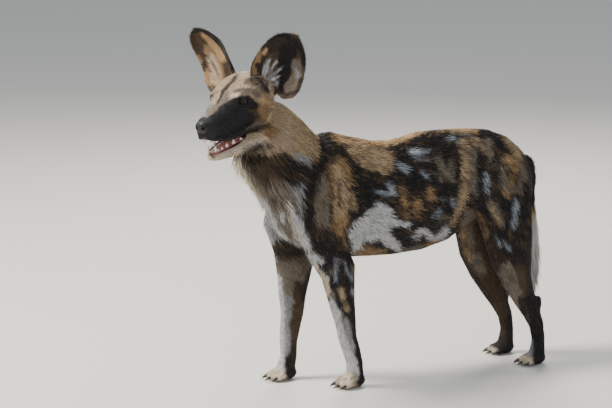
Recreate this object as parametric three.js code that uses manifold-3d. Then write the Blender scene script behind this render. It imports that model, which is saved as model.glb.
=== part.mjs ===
// African wild dog, a still life-size model: standing, head turned to its left, mouth open.
// Millimetres, +Z up. The dog faces -X, its left side is -Y and the floor is at height zero.
import * as THREE from "three";
import { mergeVertices } from "three/addons/utils/BufferGeometryUtils.js";
import Module from "manifold-3d";

const wasm = await Module();
wasm.setup();

// Driving dimensions of the body
const GAP = 0.3;
const WITHERS = 608;
const LOIN = 598;
const CHEST_FLOOR = 300;
const BELLY_FLOOR = 296;
const CHEST_WIDTH = 168;
const BELLY_WIDTH = 176;
const FOOT_SPREAD = 71;
const LEFT_FORE_FOOT = 2;
const RIGHT_FORE_FOOT = -109;
const HIND_FOOT = 514;

// Driving dimensions of the head, which has its origin midway between the eyes
const EYES = new THREE.Vector3(-321, -60, 708);
const HEAD_YAW = THREE.MathUtils.degToRad(26);
const HEAD_PITCH = THREE.MathUtils.degToRad(-7);
const GAPE = THREE.MathUtils.degToRad(10);
const JAW_JOINT = new THREE.Vector3(62, 0, -18);
const EYE_RADIUS = 11;
const EYE_PLACE = new THREE.Vector3(1, 41, -1);
const NOSE_TIP = -111;
const MOUTH_CORNER = 12;
const EAR_HEIGHT = 155;
const EAR_THICKNESS = 4;
const EAR_LEAN = { left: 36, right: 40 };
const EAR_OPENING = 22;

const SIDES = { left: -1, right: 1 };
const ACROSS = new THREE.Vector3(0, 1, 0);
const UP = new THREE.Vector3(0, 0, 1);

// A closed body from points and faces, turned outwards if its volume comes out negative
function closedBody(points, faces) {
  let volume = 0;
  for (let i = 0; i < faces.length; i += 3) {
    const [a, b, c] = faces.slice(i, i + 3).map((index) => points[index]);
    volume += a.dot(b.clone().cross(c));
  }
  const outward = volume > 0 ? faces : faces.slice().reverse();
  return new wasm.Manifold(new wasm.Mesh({
    numProp: 3,
    vertProperties: new Float32Array(points.flatMap((point) => point.toArray())),
    triVerts: new Uint32Array(outward),
  }));
}

// A body from a closed three.js geometry, such as a box or an extrusion
function fromGeometry(geometry) {
  const bare = geometry.clone();
  bare.deleteAttribute("normal");
  bare.deleteAttribute("uv");
  const merged = mergeVertices(bare, 1e-3);
  const place = merged.getAttribute("position");
  const points = [];
  for (let i = 0; i < place.count; i += 1) {
    points.push(new THREE.Vector3().fromBufferAttribute(place, i));
  }
  return closedBody(points, Array.from(merged.index.array));
}

// A body through rings of equal count, closed by a point in the middle of each end ring
function loft(rings) {
  const sides = rings[0].length;
  const points = rings.flat();
  const faces = [];
  for (let r = 0; r < rings.length - 1; r += 1) {
    for (let s = 0; s < sides; s += 1) {
      const near = r * sides + s;
      const next = r * sides + ((s + 1) % sides);
      faces.push(near, next, next + sides, near, next + sides, near + sides);
    }
  }
  for (const [ring, flip] of [[0, true], [rings.length - 1, false]]) {
    const middle = new THREE.Vector3();
    rings[ring].forEach((point) => middle.addScaledVector(point, 1 / sides));
    points.push(middle);
    for (let s = 0; s < sides; s += 1) {
      const near = ring * sides + s;
      const next = ring * sides + ((s + 1) % sides);
      faces.push(...(flip ? [next, near] : [near, next]), points.length - 1);
    }
  }
  return closedBody(points, faces);
}

// Stations are [x, y, z, half width, size on the upper or rear side, size on the other side]
function curvesOf(stations) {
  const path = new THREE.CatmullRomCurve3(stations.map(([x, y, z]) => new THREE.Vector3(x, y, z)));
  const girth = new THREE.CatmullRomCurve3(stations.map((row) => new THREE.Vector3(...row.slice(3))));
  const section = (share) => {
    const centre = path.getPoint(share);
    const along = path.getTangent(share);
    const side = ACROSS.clone().addScaledVector(along, -ACROSS.dot(along)).normalize();
    return { centre, along, side, above: along.clone().cross(side), size: girth.getPoint(share) };
  };
  return { section, span: path.getLength() };
}

// A rounded body swept through stations
function sweep(stations, options = {}) {
  const { perSpan = 2, sides = 16, power = 2, grow = 0, frame = null } = options;
  const { powerBelow = power } = options;
  const { section } = curvesOf(stations);
  const spans = (stations.length - 1) * perSpan;
  const rings = [];
  for (let i = 0; i <= spans; i += 1) {
    const { centre, side, above, size } = section(i / spans);
    size.addScalar(grow);
    const ring = [];
    for (let s = 0; s < sides; s += 1) {
      const angle = (2 * Math.PI * (s + 0.5)) / sides;
      const bend = 2 / (Math.sin(angle) > 0 ? power : powerBelow);
      const out = Math.sign(Math.cos(angle)) * Math.abs(Math.cos(angle)) ** bend;
      const rise = Math.sign(Math.sin(angle)) * Math.abs(Math.sin(angle)) ** bend;
      const reach = rise > 0 ? size.y : size.z;
      const point = centre.clone().addScaledVector(side, out * size.x);
      ring.push(point.addScaledVector(above, rise * reach));
    }
    rings.push(ring);
  }
  if (grow > 0) {
    rings[0].forEach((point) => point.addScaledVector(section(0).along, -grow));
    rings.at(-1).forEach((point) => point.addScaledVector(section(1).along, grow));
  }
  if (frame) {
    rings.flat().forEach((point) => point.applyMatrix4(frame));
  }
  return loft(rings);
}

// A rounded mass about a centre, with its radius along each axis
function egg(centre, radii, { detail = 2, grow = 0, turn = 0, frame = null } = {}) {
  const geometry = new THREE.IcosahedronGeometry(1, detail);
  geometry.scale(radii[0] + grow, radii[1] + grow, radii[2] + grow);
  geometry.rotateY(turn);
  geometry.translate(...centre);
  if (frame) {
    geometry.applyMatrix4(frame);
  }
  return fromGeometry(geometry);
}

function block(x0, x1, y0, y1, z0, z1) {
  const geometry = new THREE.BoxGeometry(x1 - x0, y1 - y0, z1 - z0);
  geometry.translate((x0 + x1) / 2, (y0 + y1) / 2, (z0 + z1) / 2);
  return fromGeometry(geometry);
}

// Everything on the far side of a plane through a point, as a large block
function beyond(point, direction) {
  const reach = 1500;
  const geometry = new THREE.BoxGeometry(reach, reach, reach);
  geometry.translate(0, 0, reach / 2);
  const turn = new THREE.Quaternion().setFromUnitVectors(UP, direction.clone().normalize());
  geometry.applyQuaternion(turn);
  geometry.translate(point.x, point.y, point.z);
  return fromGeometry(geometry);
}

const union = (bodies) => bodies.reduce((whole, body) => whole.add(body));
const cut = (body, tools) => tools.reduce((rest, tool) => rest.subtract(tool), body);

function volumeOf(solid) {
  const { vertProperties: v, triVerts: t } = solid.getMesh();
  const at = (index) => new THREE.Vector3().fromArray(v, index * 3);
  let volume = 0;
  for (let i = 0; i < t.length; i += 3) {
    volume += at(t[i]).dot(at(t[i + 1]).cross(at(t[i + 2])));
  }
  return volume / 6;
}

const largest = (solid) => solid.decompose().sort((a, b) => volumeOf(b) - volumeOf(a))[0];

// Every draw for the locks comes from one seeded sequence
function seededDraw(seed) {
  let state = seed;
  return () => {
    state = (state * 1664525 + 1013904223) % 4294967296;
    return state / 4294967296;
  };
}

// One lock of hair: a flat tapered body that follows the skin of a sweep from a sunken root.
// Rows are [share of length, share of lift, width, thickness].
const LOCK_SHAPE = [
  [-0.06, -0.4, 0.62, 0.9], [0.3, 0.5, 0.96, 1], [0.68, 0.85, 0.84, 0.8], [1, 1, 0.08, 0.16],
];
function lock({ section, span }, share, angle, { length, width, thickness, lift, sway }) {
  const rings = LOCK_SHAPE.map(([part, rise, wide, thick]) => {
    const place = share + (part * length) / span;
    const inside = Math.min(place, 1);
    const { centre, along, side, above, size } = section(inside);
    const turn = angle + sway * part * part;
    const high = Math.sin(turn) > 0 ? size.y : size.z;
    const outward = side.clone().multiplyScalar(Math.cos(turn) / size.x);
    outward.addScaledVector(above, Math.sin(turn) / high).normalize();
    const point = centre.clone().addScaledVector(along, (place - inside) * span);
    point.addScaledVector(side, Math.cos(turn) * size.x);
    point.addScaledVector(above, Math.sin(turn) * high).addScaledVector(outward, rise * lift);
    const flat = along.clone().cross(outward).normalize();
    return [[wide, 0], [0, thick], [-wide, 0], [0, -thick]].map(([across, through]) => (
      point.clone()
        .addScaledVector(flat, (across * width) / 2)
        .addScaledVector(outward, (through * thickness) / 2)
    ));
  });
  return loft(rings);
}

// Trunk: breast, ribs, deep belly, roached loin and sloping croup. Rows are [x, top, bottom, width].
const WIDEST = 0.44;
const trunkStation = ([x, top, bottom, width]) => {
  const middle = bottom + (top - bottom) * WIDEST;
  return [x, 0, middle, width / 2, top - middle, middle - bottom];
};
const TRUNK = [
  [-182, 440, 378, 50],
  [-166, 492, 348, 104],
  [-134, 556, 320, 136],
  [-92, WITHERS - 7, CHEST_FLOOR + 5, CHEST_WIDTH - 10],
  [-42, WITHERS, CHEST_FLOOR, CHEST_WIDTH - 2],
  [12, WITHERS - 15, CHEST_FLOOR + 1, CHEST_WIDTH],
  [65, WITHERS - 27, CHEST_FLOOR - 2, CHEST_WIDTH + 4],
  [125, WITHERS - 31, BELLY_FLOOR, BELLY_WIDTH],
  [187, WITHERS - 25, BELLY_FLOOR + 3, BELLY_WIDTH],
  [243, LOIN - 1, BELLY_FLOOR + 16, BELLY_WIDTH - 12],
  [300, LOIN, BELLY_FLOOR + 46, BELLY_WIDTH - 30],
  [345, LOIN - 4, BELLY_FLOOR + 68, BELLY_WIDTH - 38],
  [395, LOIN - 12, BELLY_FLOOR + 78, BELLY_WIDTH - 38],
  [440, LOIN - 30, BELLY_FLOOR + 88, BELLY_WIDTH - 46],
  [482, LOIN - 58, BELLY_FLOOR + 102, BELLY_WIDTH - 70],
  [508, LOIN - 86, BELLY_FLOOR + 126, BELLY_WIDTH - 104],
  [519, LOIN - 110, BELLY_FLOOR + 150, BELLY_WIDTH - 140],
].map(trunkStation);
const trunkBody = (grow = 0) => sweep(TRUNK, { perSpan: 1, sides: 24, power: 2.15, grow });

// Foreleg from the shoulder blade to the pastern. Rows are [x, y, z, half width, rear, front].
const FOREARM_GIRTH = { left: 1.05, right: 1.15 };
function forelegStations(name) {
  const side = SIDES[name];
  const deep = (size) => size * FOREARM_GIRTH[name];
  const y = (share) => side * share * FOOT_SPREAD;
  const [shoulder, elbow, forearm, wrist, foot] = name === "left"
    ? [0, -45, -27, -8, LEFT_FORE_FOOT]
    : [-12, -88, -96, -104, RIGHT_FORE_FOOT];
  return [
    [shoulder - 44, y(0.4), WITHERS - 50, 18, 34, 34],
    [shoulder - 68, y(0.6), 518, 28, 54, 48],
    [shoulder - 100, y(0.74), 455, 32, 66, 55],
    [(shoulder + elbow) / 2 - 72, y(0.84), 390, 36, 64, 54],
    [(shoulder + elbow) / 2 - 52, y(0.93), 335, 35, 57, 48],
    [elbow, y(0.99), 283, 29, deep(47), deep(44)],
    [(elbow * 2 + forearm) / 3, y(1), 238, 25, deep(38), deep(37)],
    [(elbow + forearm * 2) / 3, y(1), 205, 22, deep(33), deep(33)],
    [forearm + 3, y(1), 163, 19, deep(27), deep(28)],
    [(forearm + wrist) / 2, y(1), 120, 18, deep(23), deep(24)],
    [wrist, y(1), 90, 20, 23, 23],
    [(wrist + foot) / 2 + 3, y(1), 60, 19, 22, 21],
    [foot, y(1), 32, 21, 22, 23],
    [foot - 2, y(1), 12, 17, 18, 18],
  ];
}

// Hind leg from the hip to the pastern, with the point of the hock raised at the rear
function hindLegStations(name) {
  const side = SIDES[name];
  const y = (share) => side * share * FOOT_SPREAD;
  const ahead = name === "left" ? 0 : -8;
  return [
    [406, y(0.4), 540, 22, 46, 52],
    [415, y(0.6), 496, 37, 68, 76],
    [421, y(0.76), 440, 43, 77, 84],
    [422 + ahead / 2, y(0.84), 375, 42, 74, 78],
    [429 + ahead, y(0.92), 316, 37, 65, 66],
    [434 + ahead, y(0.98), 272, 32, 57, 58],
    [449 + ahead, y(1), 218, 26, 42, 42],
    [469 + ahead, y(0.99), 174, 21, 33, 31],
    [493 + ahead, y(0.97), 134, 18, 26, 25],
    [510 + ahead, y(0.95), 100, 17, 20, 21],
    [516 + ahead, y(0.95), 64, 16, 18, 18],
    [HIND_FOOT + ahead, y(0.95), 32, 19, 20, 21],
    [HIND_FOOT + ahead - 2, y(0.95), 12, 16, 16, 16],
  ];
}

function hock(name) {
  const [x, y, z] = hindLegStations(name)[8];
  return egg([x + 13, y, z + 8], [17, 11, 36], { detail: 1, turn: 0.3 });
}

// Paw: palm, four toes and four claws, trimmed flat where the pads meet the floor
const PAW_SINK = 2;
const CLAW_LENGTH = 15;
function paw(x, y, scale) {
  const at = (row) => [x + row[0] * scale, y + row[1] * scale, row[2] * scale - PAW_SINK,
    row[3] * scale, row[3] * scale, row[3] * scale];
  const palmSize = [33 * scale, 25 * scale, 20 * scale];
  const palm = egg([x - 3 * scale, y, 19 * scale - PAW_SINK], palmSize, { detail: 1 });
  const pieces = [palm];
  for (const side of [-1, 1]) {
    const toes = [
      [[-10, side * 8, 25, 9], [-30, side * 10, 20, 10.5], [-43, side * 10, 11, 9], [-49, side * 10, 8, 4]],
      [[-4, side * 17, 22, 9], [-20, side * 24, 18, 10], [-32, side * 25, 10.5, 8.5], [-38, side * 25, 8, 4]],
    ];
    for (const toe of toes) {
      pieces.push(sweep(toe.map(at), { perSpan: 1, sides: 6 }));
      const [tipX, tipY] = at(toe[3]);
      const claw = new THREE.ConeGeometry(3.4 * scale, CLAW_LENGTH * scale, 4);
      claw.rotateZ(Math.PI / 2 + 0.35);
      claw.translate(tipX - 2 * scale, tipY, 9 * scale);
      pieces.push(fromGeometry(claw));
    }
  }
  return union(pieces).subtract(block(x - 100, x + 100, y - 60, y + 60, -40, 0));
}

// Neck from the back of the skull to the shoulders, without its ruff
const NECK = [
  [-266, -33, 686, 44, 44, 44],
  [-238, -26, 642, 56, 80, 66],
  [-202, -16, 590, 64, 100, 78],
  [-158, -6, 532, 72, 112, 84],
  [-108, 0, 482, 76, 118, 96],
];
const neckBody = sweep(NECK, { perSpan: 2, sides: 18, power: 2.1 });

// Ruff of long hair round the throat, in rows from the jaw down to the breast
const RUFF_ROWS = 7;
const RUFF_FIRST = 0.08;
const RUFF_LAST = 0.64;
const RUFF_HALF_TURN = THREE.MathUtils.degToRad(86);
const RUFF_LENGTH = 60;
const RUFF_WIDTH = 25;
const RUFF_THICKNESS = 6;
const RUFF_LIFT = 15;
function ruffLocks() {
  const draw = seededDraw(11);
  const neck = curvesOf(NECK);
  const locks = [];
  for (let row = 0; row < RUFF_ROWS; row += 1) {
    const down = row / (RUFF_ROWS - 1);
    const count = row % 2 === 0 ? 7 : 6;
    for (let i = 0; i < count; i += 1) {
      const share = THREE.MathUtils.lerp(RUFF_FIRST, RUFF_LAST, down) + 0.02 * (draw() - 0.5);
      const turn = RUFF_HALF_TURN * ((2 * (i + 0.5)) / count - 1);
      const front = Math.cos(turn);
      locks.push(lock(neck, share, turn - Math.PI / 2, {
        length: RUFF_LENGTH * (0.8 + 0.2 * front - 0.15 * down) * (0.9 + 0.2 * draw()),
        width: RUFF_WIDTH * (0.9 + 0.2 * draw()),
        thickness: RUFF_THICKNESS,
        lift: RUFF_LIFT * (0.35 + 0.65 * front) * (1 - 0.25 * down),
        sway: 0.3 * (draw() - 0.5) - 0.14 * Math.sin(turn),
      }));
    }
  }
  return locks;
}

// The head's frame: local -X runs forward through the nose
const headFrame = new THREE.Matrix4().makeRotationZ(HEAD_YAW);
headFrame.multiply(new THREE.Matrix4().makeRotationY(HEAD_PITCH));
headFrame.setPosition(EYES);

// Skull and upper muzzle. Rows are [x, height of the widest place, half width, above, below].
const skullStation = ([x, z, half, above, below]) => [x, 0, z, half, above, below];
const SKULL = [
  [-104, -50, 16, 19, 15],
  [-95, -50, 24, 27, 22],
  [-74, -48, 30, 32, 28],
  [-50, -45, 35, 37, 34],
  [-26, -37, 43, 40, 42],
  [-4, -22, 54, 42, 56],
  [20, -12, 62, 49, 66],
  [48, -7, 67, 54, 70],
  [78, -3, 63, 52, 64],
  [104, 0, 52, 42, 52],
  [124, -2, 35, 30, 36],
  [134, -4, 18, 16, 18],
].map(skullStation);
const LIP_LINE = [
  [-100, 9, -66, 6, 5, 5],
  [-88, 20, -71, 6, 7, 6],
  [-62, 28, -75, 6, 9, 7],
  [-34, 35, -76, 6, 12, 7],
  [MOUTH_CORNER - 20, 43, -71, 6, 12, 6],
  [MOUTH_CORNER, 51, -63, 6, 9, 6],
];
const mirrored = (stations, side) => stations.map(([x, y, ...rest]) => [x, side * y, ...rest]);

function skullMasses(grow, frame) {
  const masses = [sweep(SKULL, { perSpan: 1, sides: 26, power: 2.2, powerBelow: 3, grow, frame })];
  for (const side of Object.values(SIDES)) {
    masses.push(sweep(mirrored(LIP_LINE, side), { perSpan: 1, sides: 8, grow, frame }));
    masses.push(egg([46, side * 37, -36], [48, 26, 40], { grow, frame }));
    masses.push(egg([2, side * 33, 10], [25, 14, 9], { detail: 1, grow, frame }));
    masses.push(egg([90, side * 54, 6], [25, 13, 20], { detail: 1, grow, frame }));
  }
  return union(masses);
}

// Almond-shaped opening between the lids, as a prism along the line of sight
function lidOpening(side) {
  const reach = 12;
  const rise = 5.2;
  const outline = new THREE.Shape();
  outline.moveTo(-reach, 0);
  outline.quadraticCurveTo(0, rise * 2.1, reach, 0);
  outline.quadraticCurveTo(0, -rise * 1.7, -reach, 0);
  const geometry = new THREE.ExtrudeGeometry(outline, { depth: 30, bevelEnabled: false, curveSegments: 5 });
  const sight = new THREE.Vector3(-0.72, side * 0.69, 0.06).normalize();
  const flat = new THREE.Vector3().crossVectors(UP, sight).normalize();
  const high = new THREE.Vector3().crossVectors(sight, flat);
  geometry.rotateZ(-side * 0.2);
  geometry.applyMatrix4(new THREE.Matrix4().makeBasis(flat, high, sight));
  geometry.translate(EYE_PLACE.x, side * EYE_PLACE.y, EYE_PLACE.z);
  return fromGeometry(geometry);
}

const eyeBall = (side, radius, detail) => (
  egg([EYE_PLACE.x, side * EYE_PLACE.y, EYE_PLACE.z], [radius, radius, radius], { detail })
);

// Hollow of the mouth between the lips, roofed by the palate
const MOUTH = [
  [-94, 0, -76, 8, 10, 14],
  [-80, 0, -77, 15, 12, 16],
  [-54, 0, -78, 20, 14, 16],
  [-28, 0, -79, 27, 15, 17],
  [-2, 0, -76, 35, 12, 16],
  [16, 0, -72, 28, 4, 8],
];

const roofAt = (grow) => sweep(MOUTH, { perSpan: 1, sides: 12, power: 2.4, grow });

// Nose pad with two comma-shaped nostrils, face to face with the end of the muzzle
const NOSE = [
  [NOSE_TIP, 0, -44, 9.5, 8, 9],
  [NOSE_TIP + 4, 0, -43, 15, 13, 13],
  [NOSE_TIP + 12, 0, -42, 18, 15.5, 16],
  [NOSE_TIP + 20, 0, -41, 17, 14, 15],
  [NOSE_TIP + 24, 0, -41, 12, 9, 11],
];
const noseBody = (grow = 0) => sweep(NOSE, { perSpan: 1, sides: 14, power: 2.3, grow });
function nostril(side) {
  return sweep([
    [NOSE_TIP - 5, side * 7, -43, 3.6, 4.6, 4],
    [NOSE_TIP + 4, side * 9.5, -42, 3.4, 4.4, 3.4],
    [NOSE_TIP + 10, side * 14, -43, 1.8, 2.6, 1.8],
  ], { perSpan: 2, sides: 8 });
}

// Lower jaw, worked out with the mouth closed and then swung open about the jaw joint
const jawSwing = new THREE.Matrix4().makeTranslation(JAW_JOINT.x, JAW_JOINT.y, JAW_JOINT.z);
jawSwing.multiply(new THREE.Matrix4().makeRotationY(-GAPE));
jawSwing.multiply(new THREE.Matrix4().makeTranslation(-JAW_JOINT.x, -JAW_JOINT.y, -JAW_JOINT.z));
const JAW = [
  [-97, 0, -90, 9, 5, 6],
  [-91, 0, -92, 16, 9, 9],
  [-76, 0, -95, 22, 12, 11],
  [-50, 0, -98, 27, 14, 14],
  [-24, 0, -100, 34, 17, 18],
  [4, 0, -97, 44, 24, 24],
  [32, 0, -87, 52, 36, 30],
  [60, 0, -70, 54, 48, 40],
  [84, 0, -56, 46, 44, 44],
  [99, 0, -50, 30, 30, 32],
];
const FLOOR_OF_MOUTH = [
  [-88, 0, -80, 8, 12, 6],
  [-74, 0, -81, 14, 12, 8],
  [-50, 0, -83, 18, 12, 9],
  [-24, 0, -83, 24, 14, 9],
  [2, 0, -79, 31, 16, 9],
  [16, 0, -75, 22, 10, 5],
];
const TONGUE = [
  [-82, 0, -84, 5, 2, 2],
  [-76, 0, -84, 8.5, 3.5, 3],
  [-60, 0, -83, 12, 5, 4],
  [-38, 0, -83, 15, 6, 5],
  [-12, 0, -81, 18, 7, 6],
  [4, 0, -78, 14, 5, 5],
];
const lowerJawBody = (grow, frame) => (
  sweep(JAW, { perSpan: 1, sides: 20, power: 2.25, grow, frame })
);

// Teeth stand on a bar of gum along each side, joined at the front. Rows are [x, y] of the bar.
const GUM_LINE = [[6, 29], [-22, 24], [-48, 19], [-70, 15], [-84, 10]];
function toothCone(x, y, z, radius, height, lean) {
  const geometry = new THREE.ConeGeometry(radius, height, 4);
  geometry.translate(0, height / 2, 0);
  geometry.rotateX(height > 0 ? Math.PI / 2 : -Math.PI / 2);
  geometry.rotateY(lean);
  geometry.translate(x, y, z);
  return fromGeometry(geometry);
}
function toothRow(level, reach, spread, frame) {
  const half = GUM_LINE.map(([x, y]) => [x - 3, y * spread]);
  const arch = [...half, [-91, 0], ...half.slice().reverse().map(([x, y]) => [x, -y])];
  const bar = arch.map(([x, y]) => new THREE.Vector3(x, y, level));
  const curve = new THREE.CatmullRomCurve3(bar);
  const rings = [];
  const count = 8;
  for (let i = 0; i <= count; i += 1) {
    const centre = curve.getPoint(i / count);
    const along = curve.getTangent(i / count);
    const out = new THREE.Vector3().crossVectors(along, UP).normalize();
    rings.push([[-2.6, -2.6], [2.6, -2.6], [2.2, 2.6], [-2.2, 2.6]].map(([a, b]) => (
      centre.clone().addScaledVector(out, a).addScaledVector(UP, b)
    )));
  }
  const pieces = [loft(rings)];
  for (const side of [-1, 1]) {
    for (const [share, radius, height] of [
      [0.08, 6.2, 8], [0.17, 6.2, 10], [0.26, 5, 8], [0.375, 4.6, 18], [0.45, 3.4, 6.5],
    ]) {
      const place = curve.getPoint(side < 0 ? share : 1 - share);
      const size = reach * height;
      const shape = toothCone(place.x, place.y, place.z, radius, Math.abs(size), 0);
      pieces.push(reach > 0 ? shape : flipped(shape, place.z));
    }
  }
  const row = union(pieces);
  return frame ? moved(row, frame) : row;
}

// A body carried by a matrix, and a body turned upside down about a level
function moved(solid, matrix) {
  const mesh = solid.getMesh();
  const points = [];
  for (let i = 0; i < mesh.vertProperties.length; i += 3) {
    points.push(new THREE.Vector3().fromArray(mesh.vertProperties, i).applyMatrix4(matrix));
  }
  return closedBody(points, Array.from(mesh.triVerts));
}
const flipped = (solid, level) => {
  const turn = new THREE.Matrix4().makeTranslation(0, 0, 2 * level);
  return moved(solid, turn.multiply(new THREE.Matrix4().makeScale(1, 1, -1)));
};

// Ear: a wide round cup, open forwards and outwards. Rows are [share of height, inner, outer].
const EAR_OUTLINE = [
  [-0.04, 34, 32], [0.03, 48, 50], [0.14, 57, 65], [0.29, 61, 67], [0.48, 60, 59],
  [0.68, 53, 49], [0.85, 40, 35], [0.96, 24, 20], [1, 9, 8],
].map((row) => new THREE.Vector3(...row));
const EAR_ROOT = new THREE.Vector3(78, 58, 16);
const EAR_RIM_LOW = 34;
const EAR_RIM_HIGH = 12;
const EAR_DEPTH = 16;
const EAR_CROWN = 14;
function ear(name) {
  const side = SIDES[name];
  const lean = THREE.MathUtils.degToRad(EAR_LEAN[name]);
  const turn = THREE.MathUtils.degToRad(EAR_OPENING);
  const tall = new THREE.Vector3(0, side * Math.sin(lean), Math.cos(lean));
  const open = new THREE.Vector3(-Math.cos(turn), side * Math.sin(turn), 0.1);
  open.addScaledVector(tall, -open.dot(tall)).normalize();
  const outer = new THREE.Vector3().crossVectors(tall, open).multiplyScalar(-side);
  const root = new THREE.Vector3(EAR_ROOT.x, side * EAR_ROOT.y, EAR_ROOT.z);
  const outline = new THREE.CatmullRomCurve3(EAR_OUTLINE);
  const rows = 10;
  const columns = 7;
  const rings = [];
  for (let r = 0; r <= rows; r += 1) {
    const { x: share, y: innerHalf, z: outerHalf } = outline.getPoint(r / rows);
    const rim = THREE.MathUtils.lerp(EAR_RIM_LOW, EAR_RIM_HIGH, THREE.MathUtils.smoothstep(share, 0, 0.6));
    const crown = EAR_CROWN * Math.max(0, (share - 0.45) / 0.55) ** 2;
    const thick = EAR_THICKNESS * THREE.MathUtils.lerp(1.3, 0.75, share);
    const front = [];
    const back = [];
    for (let c = 0; c <= columns; c += 1) {
      const across = (2 * c) / columns - 1;
      const half = across < 0 ? innerHalf : outerHalf;
      const point = root.clone().addScaledVector(tall, share * EAR_HEIGHT);
      point.addScaledVector(outer, across * half);
      point.addScaledVector(open, rim * Math.abs(across) ** 2.2 + crown - EAR_DEPTH);
      front.push(point.clone());
      back.unshift(point.clone().addScaledVector(open, -thick * (1 - 0.35 * across * across)));
    }
    rings.push([...front, ...back]);
  }
  return loft(rings);
}

// Tail: root at the croup, hanging straight down behind the thighs, thin under its brush
const TAIL = [
  [496, 0, 508, 14, 12, 12],
  [518, 0, 494, 15, 14, 14],
  [525, 0, 462, 15, 13, 13],
  [524, 0, 410, 12, 11, 11],
  [526, 0, 350, 10, 9.5, 9.5],
  [527, 0, 290, 10, 9.5, 9.5],
  [527, 0, 230, 8.5, 8.5, 8.5],
  [526, 0, 186, 5, 5, 5],
];

// Brush of long hair from below the tail's root to its tip, in rows that overlap downwards
const BRUSH_ROWS = 5;
const BRUSH_FIRST = 0.26;
const BRUSH_LAST = 0.9;
const BRUSH_LENGTH = 96;
const BRUSH_WIDTH = 24;
const BRUSH_THICKNESS = 5.5;
const BRUSH_LIFT = 10;
function brushLocks() {
  const draw = seededDraw(23);
  const tail = curvesOf(TAIL);
  const locks = [];
  for (let row = 0; row < BRUSH_ROWS; row += 1) {
    const down = row / (BRUSH_ROWS - 1);
    const full = Math.sin(Math.PI * (0.2 + 0.62 * down));
    for (let i = 0; i < 4; i += 1) {
      const share = THREE.MathUtils.lerp(BRUSH_FIRST, BRUSH_LAST, down) + 0.02 * (draw() - 0.5);
      const turn = (2 * Math.PI * (i + (row % 2) / 2 + 0.12 * (draw() - 0.5))) / 4;
      locks.push(lock(tail, share, turn, {
        length: BRUSH_LENGTH * (0.9 + 0.15 * draw()) * (1 - 0.3 * down),
        width: BRUSH_WIDTH * (0.9 + 0.2 * draw()),
        thickness: BRUSH_THICKNESS,
        lift: BRUSH_LIFT * full,
        sway: 0.5 * (draw() - 0.5),
      }));
    }
  }
  return locks;
}

// The whole flesh of trunk, neck and legs, then parted with thin cuts
const flesh = union([
  trunkBody(),
  neckBody,
  ...Object.keys(SIDES).flatMap((name) => [
    sweep(forelegStations(name), { perSpan: 1, sides: 14 }),
    sweep(hindLegStations(name), { perSpan: 1, sides: 14 }),
    hock(name),
    paw(forelegStations(name)[12][0] - 2, SIDES[name] * FOOT_SPREAD, 1),
    paw(hindLegStations(name)[11][0] - 4, SIDES[name] * FOOT_SPREAD * 0.95, 0.94),
  ]),
]);

const FORE_CUT = 286;
const WRIST_CUT = 84;
const HOCK_CUT = 92;
const KNEE_CUT = 236;
const SPLIT_X = 240;
const FAR = 900;
const HALF_GAP = GAP / 2;
const hipOutline = new THREE.Shape();
hipOutline.moveTo(322, 396);
hipOutline.lineTo(400, 428);
hipOutline.lineTo(470, 432);
hipOutline.lineTo(FAR, 432);
hipOutline.lineTo(FAR, -FAR);
hipOutline.lineTo(322, -FAR);
function hipPrism(grow) {
  const depth = 2 * FAR;
  const geometry = new THREE.ExtrudeGeometry(hipOutline, { depth, bevelEnabled: false });
  geometry.translate(0, 0, -FAR);
  geometry.rotateX(Math.PI / 2);
  geometry.translate(-grow, 0, grow);
  return fromGeometry(geometry);
}
const neckPoint = new THREE.Vector3(-140, 0, 545);
const neckDirection = new THREE.Vector3(-0.86, 0, 0.5).normalize();
const neckSide = (shift) => (
  beyond(neckPoint.clone().addScaledVector(neckDirection, shift), neckDirection)
);
const foreBlock = (grow) => block(-FAR, SPLIT_X, -FAR, FAR, -FAR, FORE_CUT + grow);

const skullSolid = skullMasses(0, null);
const skullRoom = skullMasses(GAP, headFrame);
const jawMatrix = headFrame.clone().multiply(jawSwing);
const jawRoom = lowerJawBody(GAP, jawMatrix);

// Materials, one for each kind of surface
const surface = (color, roughness) => new THREE.MeshStandardMaterial({ color, roughness, metalness: 0 });
const MATERIALS = {
  darkCoat: surface(0x2a2624, 0.9),
  tanCoat: surface(0xa88a62, 0.9),
  paleCoat: surface(0xcfc9be, 0.9),
  noseLeather: surface(0x151416, 0.4),
  mouth: surface(0xc0626a, 0.45),
  teeth: surface(0xe9e3d3, 0.35),
  eye: surface(0x5c3c1e, 0.15),
};

function geometryOf(solid) {
  const mesh = solid.getMesh();
  const geometry = new THREE.BufferGeometry();
  geometry.setAttribute("position", new THREE.BufferAttribute(mesh.vertProperties.slice(), 3));
  geometry.setIndex(Array.from(mesh.triVerts));
  geometry.computeVertexNormals();
  return geometry;
}

const dog = new THREE.Group();
const headGroup = new THREE.Group();
headGroup.applyMatrix4(headFrame);
dog.add(headGroup);
function addNode(parent, name, solid, material) {
  const mesh = new THREE.Mesh(geometryOf(largest(solid)), material);
  mesh.name = name;
  parent.add(mesh);
}

// Trunk and neck
const lowerParts = [foreBlock(HALF_GAP), hipPrism(HALF_GAP)];
addNode(dog, "torso", cut(flesh, [...lowerParts, neckSide(-HALF_GAP)]), MATERIALS.tanCoat);
const neckCore = cut(flesh, lowerParts).intersect(neckSide(HALF_GAP));
const chestRoom = union([
  trunkBody(GAP),
  sweep(NECK, { perSpan: 2, sides: 18, power: 2.1, grow: GAP }),
  ...Object.keys(SIDES).map((name) => sweep(forelegStations(name), { perSpan: 1, sides: 14, grow: GAP })),
]).subtract(neckSide(HALF_GAP));
const neckCoat = cut(union([neckCore, ...ruffLocks()]), [skullRoom, jawRoom, chestRoom]);
addNode(dog, "neck", neckCoat, MATERIALS.darkCoat);

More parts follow.
